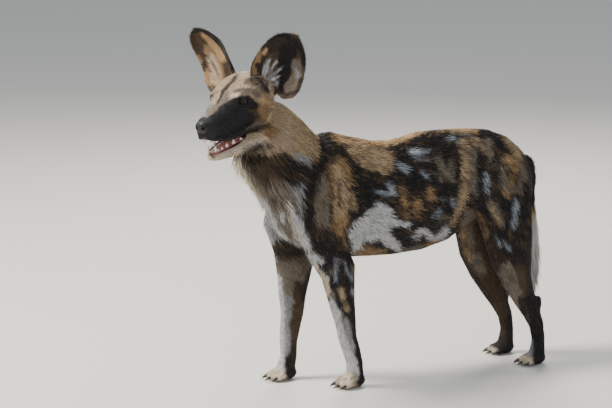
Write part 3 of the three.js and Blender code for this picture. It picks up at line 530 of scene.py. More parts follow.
# Markings of the coat
# Each dog has its own patches. The left side's are soft strokes, each a colour and a chain of
# (across, down, half width) in the camera's picture. The other side has their like, shifted.
# Some strokes are painted light, not markings: sky reflections and highlights on the black
# hair, sunlit tan hair and white edges, sheen on the muzzle's top and a shadow under the jaw.
COAT_COLOURS = {
    "black": (0.014, 0.012, 0.013), "brown": (0.075, 0.048, 0.030), "umber": (0.035, 0.025, 0.019),
    # The bright gold is tan hair painted as lit by the sun.
    "tan": (0.30, 0.19, 0.095), "gold": (0.56, 0.37, 0.19), "sand": (0.39, 0.285, 0.17),
    "taupe": (0.18, 0.148, 0.115), "cream": (0.60, 0.50, 0.38), "white": (0.53, 0.53, 0.53),
    "grey": (0.27, 0.27, 0.275), "slate": (0.016, 0.016, 0.019), "pink": (0.50, 0.20, 0.18),
    # Pale blue: a painted reflection of the sky on black hair.
    "blue": (0.26, 0.295, 0.335), "fawn": (0.45, 0.345, 0.24),
}
STROKES_ON_BODY = [
    ("sand", (282, 105, 14), (290, 122, 18), (300, 138, 20), (300, 150, 16)),
    ("tan", (268, 132, 10), (276, 140, 9)),
    ("umber", (244, 158, 6), (262, 158, 13), (284, 166, 13), (304, 172, 9), (316, 180, 7)),
    ("brown", (262, 170, 9), (272, 180, 8)), ("black", (290, 166, 7), (308, 172, 7)),
    ("grey", (296, 155, 4), (305, 158, 4)),
    ("taupe", (278, 186, 9), (288, 195, 11), (284, 206, 10)),
    ("grey", (290, 188, 4), (302, 184, 2)),
    ("cream", (240, 166, 6), (250, 178, 6), (258, 190, 5)),
    ("taupe", (250, 172, 3), (262, 186, 4), (270, 200, 4)),
    ("white", (262, 200, 7), (264, 220, 9), (272, 236, 7)),
    ("white", (256, 200, 5), (262, 232, 5), (268, 250, 4)),
    ("white", (276, 215, 8), (284, 230, 6), (300, 245, 5)),
    ("taupe", (284, 222, 3), (290, 236, 3)), ("grey", (262, 204, 3), (268, 222, 3.5), (276, 238, 3)),
    ("taupe", (274, 204, 2.5), (280, 224, 2)), ("taupe", (258, 206, 1), (266, 236, 1)),
    ("white", (292, 212, 5), (298, 228, 6), (308, 242, 7), (320, 254, 7)),
    # A painted highlight: the sunlit edge of a lock on the chest, white with a cream line.
    ("white", (288, 200, 3), (292, 216, 3), (300, 240, 3), (314, 262, 2.5), (326, 282, 3.5)),
    ("cream", (286, 204, 1.4), (291, 222, 1.4), (300, 240, 1.4)),
    ("grey", (298, 186, 4), (300, 200, 4), (303, 212, 4)),
    ("black", (310, 178, 7), (309, 200, 6), (309, 220, 6), (316, 236, 9)),
    ("taupe", (320, 184, 5), (318, 200, 4), (318, 222, 4)),
    ("black", (321, 138, 6), (326, 150, 9), (338, 151, 6), (348, 156, 4), (356, 170, 6), (366, 182, 7)),
    ("black", (322, 162, 4), (316, 170, 6)),
    # Painted highlight: the sun on the tan hair along the top of the back.
    ("gold", (336, 137, 5), (352, 138, 7), (372, 139, 8), (392, 139, 6), (408, 135, 5), (424, 130, 3)),
    ("sand", (352, 148, 7), (366, 156, 11), (380, 160, 12), (384, 170, 4)),
    ("gold", (430, 128, 2), (446, 129, 3), (460, 130, 4), (474, 130, 3)),
    ("taupe", (452, 134, 2), (466, 136, 3)), ("black", (430, 137, 6), (448, 140, 6), (462, 138, 2)),
    ("umber", (468, 127, 1.6), (480, 128, 1.6)),
    ("tan", (338, 160, 6), (337, 172, 13), (337, 190, 14), (336, 208, 14), (337, 224, 11), (342, 236, 5)),
    ("sand", (334, 166, 4), (342, 190, 7), (340, 210, 8)),
    ("taupe", (323, 176, 3), (325, 200, 3), (326, 222, 4)),
    ("umber", (327, 170, 1.4), (330, 196, 1.6), (331, 222, 2)), ("umber", (338, 180, 1), (339, 206, 1.4)),
    ("umber", (322, 232, 8), (334, 242, 9)),
    ("black", (320, 246, 9), (334, 250, 11), (344, 250, 7)),
    ("tan", (345, 228, 2.5), (345, 244, 2.5)),
    ("black", (352, 190, 5), (352, 215, 4), (349, 238, 4)),
    ("sand", (351, 193, 1.5), (353, 206, 2.5)),
    ("white", (356, 244, 4), (354, 234, 6), (362, 228, 10), (374, 222, 13), (380, 216, 12), (379, 206, 5)),
    ("white", (384, 232, 6), (378, 236, 6), (362, 240, 6), (353, 252, 2)),
    ("grey", (366, 226, 1.2), (382, 214, 1)), ("grey", (360, 236, 1), (378, 228, 1)),
    ("white", (388, 221, 4), (398, 223, 2.5), (407, 224, 2.5)),
    ("white", (384, 238, 5), (392, 243, 6), (396, 248, 4)),
    ("black", (392, 232, 4), (400, 234, 4)), ("black", (366, 245, 4), (378, 243, 4)),
    ("tan", (356, 253, 3), (368, 251, 5), (382, 253, 4)),
    ("tan", (401, 188, 3), (404, 200, 5), (402, 210, 5), (414, 214, 5), (416, 202, 4)),
    ("umber", (405, 194, 1.4), (408, 202, 1.6)), ("umber", (398, 204, 1.6), (402, 214, 1.2)),
    ("tan", (428, 188, 3), (429, 197, 4)), ("black", (408, 206, 2), (411, 217, 2.5)),
    # Pale blue spots on the black hair are painted reflections of the sky, and the small white marks in
    # their middles are painted highlights.
    ("blue", (410, 150, 1.4), (413, 154, 3.3), (420, 154, 2.6)), ("blue", (419, 152, 2), (428, 151, 1.7)),
    ("blue", (396, 163, 2), (401, 167, 3.3), (406, 171, 2)), ("blue", (418, 170, 1.4), (427, 176, 1.4)),
    ("blue", (446, 139, 2), (453, 139, 2)), ("blue", (376, 190, 2), (381, 193, 2)),
    ("blue", (387, 184, 2.6), (391, 191, 3.3), (384, 194, 2)), ("blue", (451, 199, 2.3), (452, 204, 2)),
    ("blue", (438, 210, 1.4), (433, 216, 1.7)), ("blue", (441, 198, 1), (444, 201, 1)),
    ("white", (411, 151, 1), (416, 153, 1.4)), ("white", (390, 187, 1.2), (392, 191, 1.4)),
    ("white", (486, 176, 0.8), (487, 184, 1)), ("white", (515, 204, 1), (514, 214, 1.2)),
    ("grey", (412, 160, 1), (426, 160, 0.8)), ("grey", (474, 176, 1), (474, 194, 1)),
    ("white", (415, 238, 2), (418, 231, 3.5), (424, 231, 3.5), (429, 239, 2.5)),
    ("white", (430, 241, 2.5), (437, 237, 3.5), (443, 231, 4), (445, 226, 2)),
    ("taupe", (405, 250, 3), (418, 247, 2.5)), ("tan", (424, 246, 3), (436, 244, 3)),
    ("black", (420, 238, 3.2), (422, 240, 2.5)),
    ("taupe", (436, 158, 3), (446, 176, 3)), ("taupe", (448, 160, 2), (452, 182, 2)),
    ("taupe", (440, 180, 2), (434, 172, 2)), ("taupe", (444, 216, 2), (438, 222, 2)),
    ("sand", (462, 144, 5), (466, 160, 6), (466, 178, 6), (463, 194, 5), (457, 210, 3), (450, 226, 2)),
    ("taupe", (471, 150, 4), (472, 168, 3), (470, 186, 3)), ("sand", (474, 140, 4), (480, 150, 4)),
    ("black", (478, 150, 2.5), (479, 172, 3.5), (480, 192, 3.5), (482, 208, 3)),
    ("taupe", (486, 142, 4), (490, 160, 3)), ("sand", (500, 138, 4), (512, 146, 5), (520, 156, 5)),
    ("black", (484, 130, 3), (492, 132, 4), (500, 150, 6), (494, 166, 5)),
    ("tan", (508, 158, 6), (514, 170, 5), (512, 182, 5), (506, 192, 4)),
    ("taupe", (502, 168, 3), (502, 184, 3), (518, 190, 3), (520, 164, 4), (524, 176, 3)),
    ("black", (508, 165, 1.6), (512, 176, 1.6)), ("black", (518, 172, 1.8), (515, 184, 1.6)),
    ("taupe", (488, 200, 3), (496, 212, 5), (500, 222, 4)),
    ("sand", (490, 206, 2), (498, 218, 2.5)),
    # Painted reflections of the sky on the black hair.
    ("blue", (485, 172, 2), (487, 182, 2.6), (485, 190, 2)),
    ("blue", (515, 200, 2.6), (514, 214, 3), (512, 224, 2.3)),
    ("blue", (496, 238, 1.2), (500, 246, 1.2)), ("blue", (504, 243, 1.2), (510, 248, 1.2)),
    ("umber", (492, 252, 6), (506, 262, 6)), ("taupe", (506, 270, 8), (514, 290, 8), (522, 320, 7)),
    ("brown", (520, 268, 5), (526, 290, 5)), ("umber", (522, 300, 4), (526, 330, 4)),
    ("brown", (472, 214, 6), (472, 232, 12), (474, 252, 12), (486, 272, 9), (496, 292, 8), (503, 312, 6)),
    ("umber", (462, 262, 3), (478, 284, 3), (492, 306, 3)),
    ("taupe", (468, 214, 5), (468, 232, 9), (472, 250, 8), (482, 270, 4)),
    ("tan", (462, 224, 2), (466, 244, 2.5), (470, 258, 2)), ("brown", (474, 222, 2), (478, 250, 3)),
    ("tan", (480, 212, 0.8), (485, 228, 1), (490, 248, 0.8)),
    ("umber", (488, 240, 4), (494, 262, 5)),
    ("umber", (504, 322, 5), (506, 338, 5)), ("cream", (488, 350, 4), (494, 352, 3)),
    ("cream", (526, 352, 6), (526, 368, 8), (520, 374, 7)), ("grey", (528, 340, 4), (530, 352, 4)),
    ("black", (522, 156, 4), (530, 168, 3), (531, 200, 3.5), (530, 226, 3.5)),
    ("umber", (528, 240, 4), (530, 262, 4), (530, 290, 4)),
    ("umber", (274, 244, 4), (286, 244, 5), (300, 252, 7), (288, 256, 6), (276, 258, 3)),
    ("white", (270, 252, 2), (275, 258, 1.5)),
    ("taupe", (282, 268, 9), (300, 268, 12), (306, 276, 8)), ("taupe", (286, 285, 8), (284, 310, 9)),
    ("grey", (286, 300, 6), (286, 330, 7), (284, 350, 6)),
    # A painted highlight along the sunlit front edge of the far foreleg.
    ("white", (272, 262, 2.5), (279, 280, 3), (281, 310, 3.5), (281, 350, 3.5), (280, 372, 5)),
    ("brown", (302, 285, 5), (300, 302, 7), (297, 322, 7), (296, 338, 5)),
    ("black", (311, 268, 2), (307, 282, 2.5), (303, 298, 2)), ("umber", (298, 282, 3), (302, 292, 2)),
    ("umber", (294, 345, 3.5), (294, 366, 3.5)),
    ("cream", (272, 372, 7), (280, 380, 8), (268, 382, 8)),
    ("cream", (315, 264, 2), (324, 280, 3.5), (328, 292, 4)),
    ("black", (332, 262, 7), (338, 272, 9), (344, 284, 9), (346, 296, 8), (348, 306, 8)),
    # Painted reflections of the sky on the black of the near foreleg.
    ("blue", (335, 259, 1.4), (335, 270, 2.3), (336, 280, 1.7)),
    ("blue", (343, 260, 1), (346, 270, 1.4), (352, 278, 1.4)),
    ("taupe", (331, 272, 2), (336, 266, 1)), ("taupe", (353, 266, 2.5), (355, 274, 2)),
    ("sand", (341, 289, 2.5), (343, 296, 3)), ("sand", (345, 303, 2), (347, 308, 3)),
    ("grey", (352, 288, 1.5), (354, 298, 1.2)), ("taupe", (332, 292, 2.5), (334, 298, 2)),
    ("white", (331, 302, 4), (337, 316, 6), (342, 334, 6), (348, 352, 6), (352, 372, 7)),
    ("grey", (346, 320, 3), (349, 336, 3), (353, 352, 2)), ("taupe", (343, 316, 1.6), (345, 326, 1.4)),
    ("black", (350, 312, 2), (356, 320, 3), (357, 340, 3), (360, 360, 3.5), (363, 374, 3)),
    ("taupe", (360, 312, 2), (361, 345, 2)),
    ("cream", (350, 380, 8), (340, 388, 9), (352, 390, 8)),
]
STROKES_ON_HEAD = [
    ("sand", (262, 108, 14), (268, 118, 14), (275, 104, 8)),
    ("fawn", (212, 86, 9), (226, 80, 11), (242, 78, 11), (252, 76, 6)),
    ("fawn", (216, 100, 9), (226, 96, 8), (238, 88, 8)), ("cream", (238, 76, 3), (246, 74, 3)),
    ("taupe", (246, 82, 3), (256, 82, 5), (263, 88, 5)),
    ("umber", (256, 78, 1.2), (262, 84, 1.6), (268, 92, 2)),
    ("umber", (250, 80, 1), (256, 85, 1.2)), ("taupe", (240, 92, 3), (250, 91, 3.5), (258, 95, 2.5)),
    # Painted highlight on the cheek behind the eye, tan hair in the sun.
    ("gold", (262, 100, 3), (267, 108, 3.5), (268, 118, 3)),
    ("tan", (262, 112, 8), (266, 122, 7), (254, 122, 7)), ("taupe", (246, 118, 7), (254, 122, 6)),
    ("brown", (250, 110, 5), (256, 116, 4)), ("umber", (246, 116, 4), (250, 122, 3)),
    ("sand", (272, 112, 5), (274, 126, 5)),
    # The grey on top of the black muzzle is painted sheen, the light from above on dark hair.
    ("grey", (206, 112, 6), (212, 106, 7), (208, 118, 6)), ("fawn", (216, 102, 4), (222, 97, 4)),
    ("taupe", (210, 113, 4), (222, 104, 5), (232, 99, 4.5), (240, 95, 3)),
    ("slate", (199, 126, 5), (206, 128, 8), (216, 122, 9), (226, 118, 11), (238, 114, 11)),
    ("slate", (212, 132, 8), (226, 130, 9), (240, 124, 9), (250, 118, 5)),
    ("slate", (224, 112, 7), (234, 106, 6)),
    ("black", (228, 106, 4), (236, 103, 6), (246, 102, 7), (255, 106, 4)),
    ("taupe", (236, 92, 2.5), (246, 92, 2.5)), ("cream", (230, 97, 2), (238, 94, 1.5)),
    ("umber", (237, 75, 1.2), (233, 81, 1.8), (227, 87, 2.4), (223, 92, 2.0), (220, 99, 1.6),
     (217, 103, 1.2)),
    ("taupe", (228, 93, 1.2), (224, 98, 1.6), (219, 105, 1.4)), ("taupe", (216, 92, 1.2), (212, 99, 1.4)),
    ("sand", (218, 92, 1.5), (214, 98, 2)), ("black", (210, 97, 2.6), (212, 96, 2)),
    ("black", (200, 134, 3), (212, 140, 2.6), (226, 142, 2.5), (238, 138, 2)),
    ("black", (224, 140, 3), (236, 137, 3), (247, 132, 2.5)),
    ("umber", (250, 130, 3), (260, 127, 2.6), (269, 124, 1.5)),
    ("cream", (208, 156, 5), (222, 156, 6), (238, 151, 6), (252, 144, 5), (262, 138, 5)),
    ("tan", (266, 132, 5), (272, 130, 4)), ("taupe", (244, 150, 2.5), (256, 144, 2.5)),
    ("brown", (209, 154, 2), (213, 157, 1.2)),
    # A painted shadow under the jaw.
    ("umber", (240, 156, 2.5), (254, 150, 3), (266, 142, 3)),
]
STROKES_ON_EARS = [
    ("brown", (266, 50, 14), (290, 60, 16), (285, 82, 14)),
    ("umber", (270, 46, 8), (284, 44, 8)),
    ("black", (288, 52, 9), (285, 66, 7), (283, 82, 5), (282, 90, 4)),
    ("taupe", (296, 64, 5), (297, 76, 5), (290, 88, 6)), ("grey", (296, 70, 2), (298, 78, 2)),
    # The gold on the near ear is tan hair with painted sunlight on it.
    ("tan", (258, 54, 3), (257, 62, 4), (255, 72, 3)), ("gold", (264, 54, 2), (266, 50, 1.5)),
    ("umber", (258, 66, 3), (262, 76, 3)),
    ("taupe", (266, 62, 2), (268, 70, 4), (270, 78, 6), (274, 86, 4)), ("umber", (266, 58, 2), (262, 70, 2)),
    ("white", (264, 80, 1.3), (270, 70, 1.2), (277, 62, 0.7)), ("white", (265, 75, 1.1), (270, 60, 0.6)),
    ("white", (268, 82, 1.3), (274, 74, 1.3), (281, 69, 0.7)), ("white", (272, 80, 1.5), (279, 77, 1)),
    ("grey", (263, 72, 1.4), (267, 62, 0.8)), ("white", (262, 77, 0.8), (265, 66, 0.6)),
    ("umber", (266, 78, 0.7), (272, 66, 0.6)), ("umber", (270, 80, 0.7), (277, 70, 0.6)),
    ("grey", (270, 86, 2), (277, 83, 1.6)), ("umber", (268, 90, 1.2), (276, 88, 1.2)),
    ("black", (250, 70, 1.6), (253, 60, 1.8), (259, 48, 2), (268, 39, 2), (283, 35, 3),
     (296, 42, 3), (303, 54, 2.6), (304, 66, 2)),
    ("umber", (301, 80, 1.6), (297, 91, 1.6), (284, 96, 2)), ("black", (274, 92, 3), (277, 102, 3)),
    ("tan", (206, 54, 9), (212, 64, 10), (214, 76, 11), (208, 82, 8)),
    # Gold on the far ear is tan hair with painted sunlight along its rim.
    ("fawn", (212, 58, 3.5), (216, 68, 5), (217, 80, 6)), ("gold", (198, 66, 2.5), (203, 78, 3)),
    ("umber", (207, 56, 0.8), (213, 66, 0.7)), ("brown", (204, 60, 0.9), (211, 72, 0.7)),
    ("cream", (212, 54, 0.8), (217, 66, 0.7)), ("cream", (209, 60, 0.8), (215, 74, 0.7)),
    ("brown", (213, 62, 0.7), (219, 76, 0.7)), ("umber", (203, 52, 1.6), (205, 62, 1.4)),
    ("umber", (206, 84, 1.6), (210, 88, 1.4)),
    ("brown", (196, 32, 7), (197, 42, 6), (200, 50, 5)), ("black", (193, 30, 3), (200, 28, 3)),
    # A band of painted sunlight along the far ear's rim.
    ("gold", (203, 35, 2), (210, 41, 3), (218, 50, 3.5), (223, 60, 3.5)),
    ("umber", (206, 64, 2.4), (205, 70, 2)), ("brown", (202, 52, 3), (204, 58, 2)),
    ("tan", (192, 54, 2), (195, 64, 2.6), (201, 77, 3), (206, 86, 2.5)),
    ("black", (197, 27, 2.6), (210, 33, 3), (221, 44, 3), (229, 57, 3), (234, 69, 2.6)),
]


def drift(points, size, seed):
    """A smooth random field between -1 and 1 that changes over about the given size."""
    place = points / size + 31.7 * seed
    cell = np.floor(place).astype(np.int64)
    part = place - cell
    part = part * part * (3 - 2 * part)
    total = np.zeros(len(points))
    for corner in np.ndindex(2, 2, 2):
        code = (cell + corner) @ np.array([73856093, 19349663, 83492791]) + seed * 26544357
        code = (code ^ (code >> 13)) * 1274126177 & 0x7FFFFFFF
        share = np.prod(np.where(np.array(corner) == 1, part, 1 - part), axis=1)
        total += share * (((code >> 7) & 0xFFFF) / 32767.5 - 1)
    return total


def in_picture(points):
    """Where each point falls in the camera's picture, in pixels across and down."""
    offset = points - camera_place
    away = -(offset @ to_camera)
    across = offset @ camera_right / away * FOCAL_PIXELS + PICTURE[0] / 2
    down = PICTURE[1] / 2 - offset @ camera_up / away * FOCAL_PIXELS
    return np.stack([across, down], axis=1)


def laid_on(colour, place, strokes, soft):
    for name, *chain in strokes:
        inside = np.full(len(place), 1e9)
        for (x0, y0, w0), (x1, y1, w1) in zip(chain, chain[1:]):
            span = np.array([x1 - x0, y1 - y0])
            share = np.clip(((place - [x0, y0]) @ span) / (span @ span), 0, 1)
            away = np.linalg.norm(place - [x0, y0] - share[:, None] * span, axis=1)
            inside = np.minimum(inside, away - (w0 + (w1 - w0) * share))
        cover = 1 - smooth_step(inside, -soft, soft)
        colour += (np.array(COAT_COLOURS[name]) - colour) * cover[:, None]
    return colour


def mottled(colour, points):
    """Dark hairs in the warm patches and brown ones in the black, in streaks along the body."""
    streak = points * [0.6, 1, 1]
    dark = smooth_step(drift(streak, 9, 13) + 0.6 * drift(streak, 4, 14), 0.05, 0.65)[:, None]
    pale = smooth_step(drift(streak, 9, 15) + 0.6 * drift(streak, 4, 16), 0.25, 0.85)[:, None]
    warm = smooth_step(colour[:, :1] - colour[:, 2:], 0.03, 0.09) * smooth_step(points[:, :1], -170, -90)
    black = (1 - smooth_step(colour[:, :1], 0.03, 0.08)) * smooth_step(points[:, 2:], 230, 330)
    colour = colour * (1 - 0.62 * dark * warm)
    return colour + (np.array(COAT_COLOURS["tan"]) - colour) * (0.3 * pale * black)


def side_colours(points, is_head, is_ear):
    rough = 1.6 * np.stack([drift(points, 14, 3), drift(points, 14, 4)], axis=1)
    rough += 0.9 * np.stack([drift(points, 5, 5), drift(points, 5, 6)], axis=1)
    place = in_picture(points)
    colour = laid_on(np.tile(COAT_COLOURS["black"], (len(points), 1)), place + rough, STROKES_ON_BODY, 1.5)
    colour = mottled(colour, points)
    if is_head.any():
        base = np.tile(COAT_COLOURS["fawn"], (int(is_head.sum()), 1))
        colour[is_head] = laid_on(base, (place + 0.45 * rough)[is_head], STROKES_ON_HEAD, 1.5)
        at_head = in_head(points[is_head])
        by_nose = (1 - smooth_step(at_head[:, 0], -92, -82)) * smooth_step(at_head[:, 2], -82, -76)
        colour[is_head] += (np.array(COAT_COLOURS["slate"]) - colour[is_head]) * by_nose[:, None]
    if is_ear.any():
        base = np.tile(COAT_COLOURS["brown"], (int(is_ear.sum()), 1))
        colour[is_ear] = laid_on(base, (place + 0.5 * rough)[is_ear], STROKES_ON_EARS, 1.0)
    return colour


def turned_over(points, is_head):
    """The matching place on the other side of the dog, or of the head."""
    other = points * [1, -1, 1]
    away = smooth_step(np.abs(points[:, 1]), 0, 60)[:, None]
    low = 1 - smooth_step(points[:, 2], 120, 420)
    fore = points[:, 0] < 150
    other[:, 0] += np.where(fore, np.sign(points[:, 1]) * 108 * low, 0)
    other += away * 16 * np.stack([drift(points, 90, 7), 0 * low, drift(points, 90, 8)], axis=1)
    other[is_head] = from_head(in_head(points[is_head]) * [1, -1, 1])
    return other


def head_region(at_head):
    """Which places of the head's frame lie on the head, ahead of a slanting line behind the jaw."""
    ahead = at_head[:, 0] + 0.35 * at_head[:, 2] < 98
    return ahead & (at_head[:, 2] > -135) & (at_head[:, 0] < 118)


def coat_colour(points, facing):
    """Colour of the coat at each point: the left side's strokes, or their like on the other side."""
    is_ear = ear_of(points) >= 0
    is_head = ~is_ear & head_region(in_head(points))
    seen = smooth_step(facing @ to_camera, -0.12, 0.16)[:, None]
    seen[is_ear] = smooth_step(facing[is_ear] @ to_camera, -0.05, 0.05)[:, None]
    colour = side_colours(points, is_head, is_ear)
    hidden = seen[:, 0] < 1
    behind = side_colours(turned_over(points[hidden], is_head[hidden]), is_head[hidden], is_ear[hidden])
    dark = np.array(COAT_COLOURS["umber"]) * (1 + 0.5 * drift(points[hidden], 20, 9))[:, None]
    behind = np.where(is_ear[hidden][:, None], dark, behind)
    colour[hidden] = colour[hidden] * seen[hidden] + behind * (1 - seen[hidden])
    shade = 1 + 0.16 * drift(points, 7, 11) + 0.12 * drift(points, 2.5, 12)
    return colour * shade[:, None]


# Bare skin: inside the mouth, on the lips and on the lids. The arches are half widths of the
# mouth at stations along the head, from the front backwards.
GAPE = math.radians(10)
JAW_JOINT = np.array([62.0, 0.0, -18.0])
ROOF_STATIONS, ROOF_HALVES = [-96, -80, -54, -28, -2, 16], [7, 14, 19, 25, 31, 26]
BED_STATIONS, BED_HALVES = [-90, -74, -50, -24, 2, 16], [9, 14, 18, 24, 30, 22]


def in_jaw(points):
    """Places in the head's frame as they would be with the mouth closed."""
    place = in_head(points) - JAW_JOINT
    turn = np.array(Matrix.Rotation(GAPE, 3, "Y"))
    return place @ turn.T + JAW_JOINT


def mouth_inside(points):
    """How far inside the lips each point lies, as a share from none to one."""
    place, jaw = in_head(points), in_jaw(points)
    wide = np.interp(place[:, 0], ROOF_STATIONS, ROOF_HALVES)
    roof = (1 - smooth_step(np.abs(place[:, 1]) - wide, -1, 2)) * (1 - smooth_step(place[:, 2], -60, -55))
    roof *= smooth_step(place[:, 2], -84, -78) * (1 - smooth_step(place[:, 0], 16, 24))
    roof *= smooth_step(place[:, 0], -97, -93)
    wide = np.interp(jaw[:, 0], BED_STATIONS, BED_HALVES)
    bed = (1 - smooth_step(np.abs(jaw[:, 1]) - wide, -1, 2)) * smooth_step(jaw[:, 2], -96, -92)
    bed *= (1 - smooth_step(jaw[:, 2], -74, -70)) * (1 - smooth_step(jaw[:, 0], 16, 24))
    bed *= smooth_step(jaw[:, 0], -92, -87)
    return np.maximum(roof, bed)


mouth_bare = mouth_inside(skin_points)
skin_colour = coat_colour(skin_points, skin_normals)
# Inside the mouth the pink is painted darker towards the back, as shade in the mouth.
mouth_shade = smooth_step(in_head(skin_points)[:, 0], -85, 0)[:, None]
flesh_and_shade = np.array(COAT_COLOURS["pink"]) * (1 - 0.8 * mouth_shade)
skin_colour += (flesh_and_shade - skin_colour) * mouth_bare[:, None]
skin_colour *= (1 - 0.85 * lid_dark)[:, None]


def coloured(piece, colours):
    layer = piece.data.color_attributes.new("Coat", "FLOAT_COLOR", "POINT")
    rows = np.ones((len(colours), 4), np.float32)
    rows[:, :3] = np.clip(colours, 0.003, 0.9)
    layer.data.foreach_set("color", rows.ravel())


class Value:
    """A socket of numbers, so that shader maths reads as ordinary maths."""

    def __init__(self, paint, socket):
        self.paint, self.socket = paint, socket

    def _with(self, other, operation, flipped=False):
        pair = [self.socket, other.socket if isinstance(other, Value) else other]
        return self.paint.number("ShaderNodeMath", {"operation": operation}, pair[::-1] if flipped else pair)

    def __add__(self, other):
        return self._with(other, "ADD")

    def __mul__(self, other):
        return self._with(other, "MULTIPLY")

    def __rsub__(self, other):
        return self._with(other, "SUBTRACT", True)

    __radd__ = __add__
    __rmul__ = __mul__


class Paint:
    """A material made of nodes, with its shader's own constants set by name."""

    def __init__(self, name, **constants):
        self.material = bpy.data.materials.new(name)
        self.material.use_nodes = True
        self.tree = self.material.node_tree
        self.shader = self.tree.nodes["Principled BSDF"]
        for key, value in constants.items():
            self.shader.inputs[key.replace("_", " ")].default_value = value

    def node(self, kind, settings, sockets):
        made = self.tree.nodes.new(kind)
        for key, value in settings.items():
            if key == "stops":
                ramp = made.color_ramp.elements
                while len(ramp) < len(value):
                    ramp.new(0.5)
                for stop, (position, colour) in zip(ramp, value):
                    stop.position = position
                    stop.color = (*colour, 1)
            else:
                setattr(made, key, value)
        for key, value in (sockets.items() if isinstance(sockets, dict) else enumerate(sockets)):
            value = value.socket if isinstance(value, Value) else value
            if isinstance(value, bpy.types.NodeSocket):
                self.tree.links.new(value, made.inputs[key])
            else:
                made.inputs[key].default_value = value
        return made

    def number(self, kind, settings, sockets, output=0):
        return Value(self, self.node(kind, settings, sockets).outputs[output])

    def place(self):
        return self.node("ShaderNodeTexCoord", {}, {}).outputs["Object"]

    def noise(self, scale, detail=2.0, place=None):
        sockets = {"Vector": place or self.place(), "Scale": scale, "Detail": detail}
        return self.number("ShaderNodeTexNoise", {}, sockets)

    def feed(self, name, value):
        self.tree.links.new(value.socket if isinstance(value, Value) else value, self.shader.inputs[name])

    def bump(self, height, strength, distance):
        sockets = {"Height": height, "Strength": strength, "Distance": distance}
        self.feed("Normal", self.node("ShaderNodeBump", {}, sockets).outputs["Normal"])


def shaded(paint, colour, light):
    """A colour made lighter or darker by a number."""
    grey = paint.node("ShaderNodeCombineColor", {}, {"Red": light, "Green": light, "Blue": light})
    mix = paint.node("ShaderNodeVectorMath", {"operation": "MULTIPLY"}, [colour, grey.outputs[0]])
    return mix.outputs[0]


hide = Paint("short_coat", Specular_IOR_Level=0.25)
hide_colour = hide.node("ShaderNodeVertexColor", {"layer_name": "Coat"}, {}).outputs["Color"]
hide_streak = hide.noise(420, 3.0)
hide.feed("Base Color", shaded(hide, hide_colour, 0.62 + 0.5 * hide_streak))
hide.feed("Roughness", 0.62 + 0.25 * hide_streak)
hide.bump(hide_streak, 0.5, 0.0012)
coloured(skin, skin_colour)
skin.data.materials.clear()
skin.data.materials.append(hide.material)
made_smooth(skin)
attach(skin, "root")
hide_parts(*PLAIN_NODES, "neck", "tail", "head", "lower_jaw", "ear_left", "ear_right")

# Tufts of the coat
# Short flat tufts over the whole skin, each a thin bent spike that follows the lie, joined
# into one mesh for each part of the body. The root is painted darker, as shade among the
# hairs, and the tip a little lighter.
UP = np.array([0, 0, 1])
BAKE_PATCH = 0.003
SEED = 5
TUFT_RUNGS = ((0, 1), (0.42, 0.9), (1, 0))
TUFT_SECTION = ((-0.5, -0.12), (0.5, -0.12), (0, 0.34))
TUFT_FACES = np.array([(0, 1, 4), (0, 4, 3), (1, 2, 5), (1, 5, 4), (2, 0, 3), (2, 3, 5),
                       (3, 4, 6), (4, 5, 6), (5, 3, 6), (2, 1, 0)])
PAINTED_TUFT_SHADE = (0.62, 1.0, 1.15)
FLOOR_CLEARANCE = 0.2
draw = np.random.default_rng(SEED)
skin_triangles = np.empty(len(skin.data.loops), np.int32)
skin.data.loops.foreach_get("vertex_index", skin_triangles)
skin_triangles = skin_triangles.reshape(-1, 3)
triangle_corners = skin_points[skin_triangles]
triangle_middle = triangle_corners.mean(axis=1)
triangle_turn = np.cross(triangle_corners[:, 1] - triangle_corners[:, 0],
                         triangle_corners[:, 2] - triangle_corners[:, 0])
triangle_area = np.linalg.norm(triangle_turn, axis=1) / 2
triangle_facing = unit(triangle_turn)


def rooted(mask, spacing):
    """Evenly scattered places on the chosen triangles of the skin, with the way they face."""
    chosen = np.nonzero(mask)[0]
    area = triangle_area[chosen]
    count = int(3 * area.sum() / spacing ** 2)
    pick = skin_triangles[draw.choice(chosen, count, p=area / area.sum())]
    mix = draw.random((count, 2))
    mix = np.where(mix.sum(axis=1, keepdims=True) > 1, 1 - mix, mix)
    mix = np.column_stack([1 - mix.sum(axis=1), mix])[..., None]
    place, facing = (skin_points[pick] * mix).sum(axis=1), unit((skin_normals[pick] * mix).sum(axis=1))
    cell = np.floor(place / spacing).astype(np.int64) @ np.array([1, 8192, 8192 ** 2])
    first = np.unique(cell, return_index=True)[1]
    return place[first], facing[first]


def bake_places(place, facing):
    """A box unwrap of the skin: six charts, one for each way it mainly faces."""
    low, reach = place.min(axis=0), np.ptp(place, axis=0).max() + 1
    axis = np.abs(facing).argmax(axis=1)
    back = np.take_along_axis(facing, axis[:, None], axis=1)[:, 0] < 0
    share = (place - low) / reach
    flat = np.where((axis == 0)[:, None], share[:, [1, 2]],
                    np.where((axis == 1)[:, None], share[:, [0, 2]], share[:, [0, 1]]))
    chart = np.column_stack([axis / 3, back / 2])
    return chart + (0.02 + 0.94 * flat) / [3, 2]


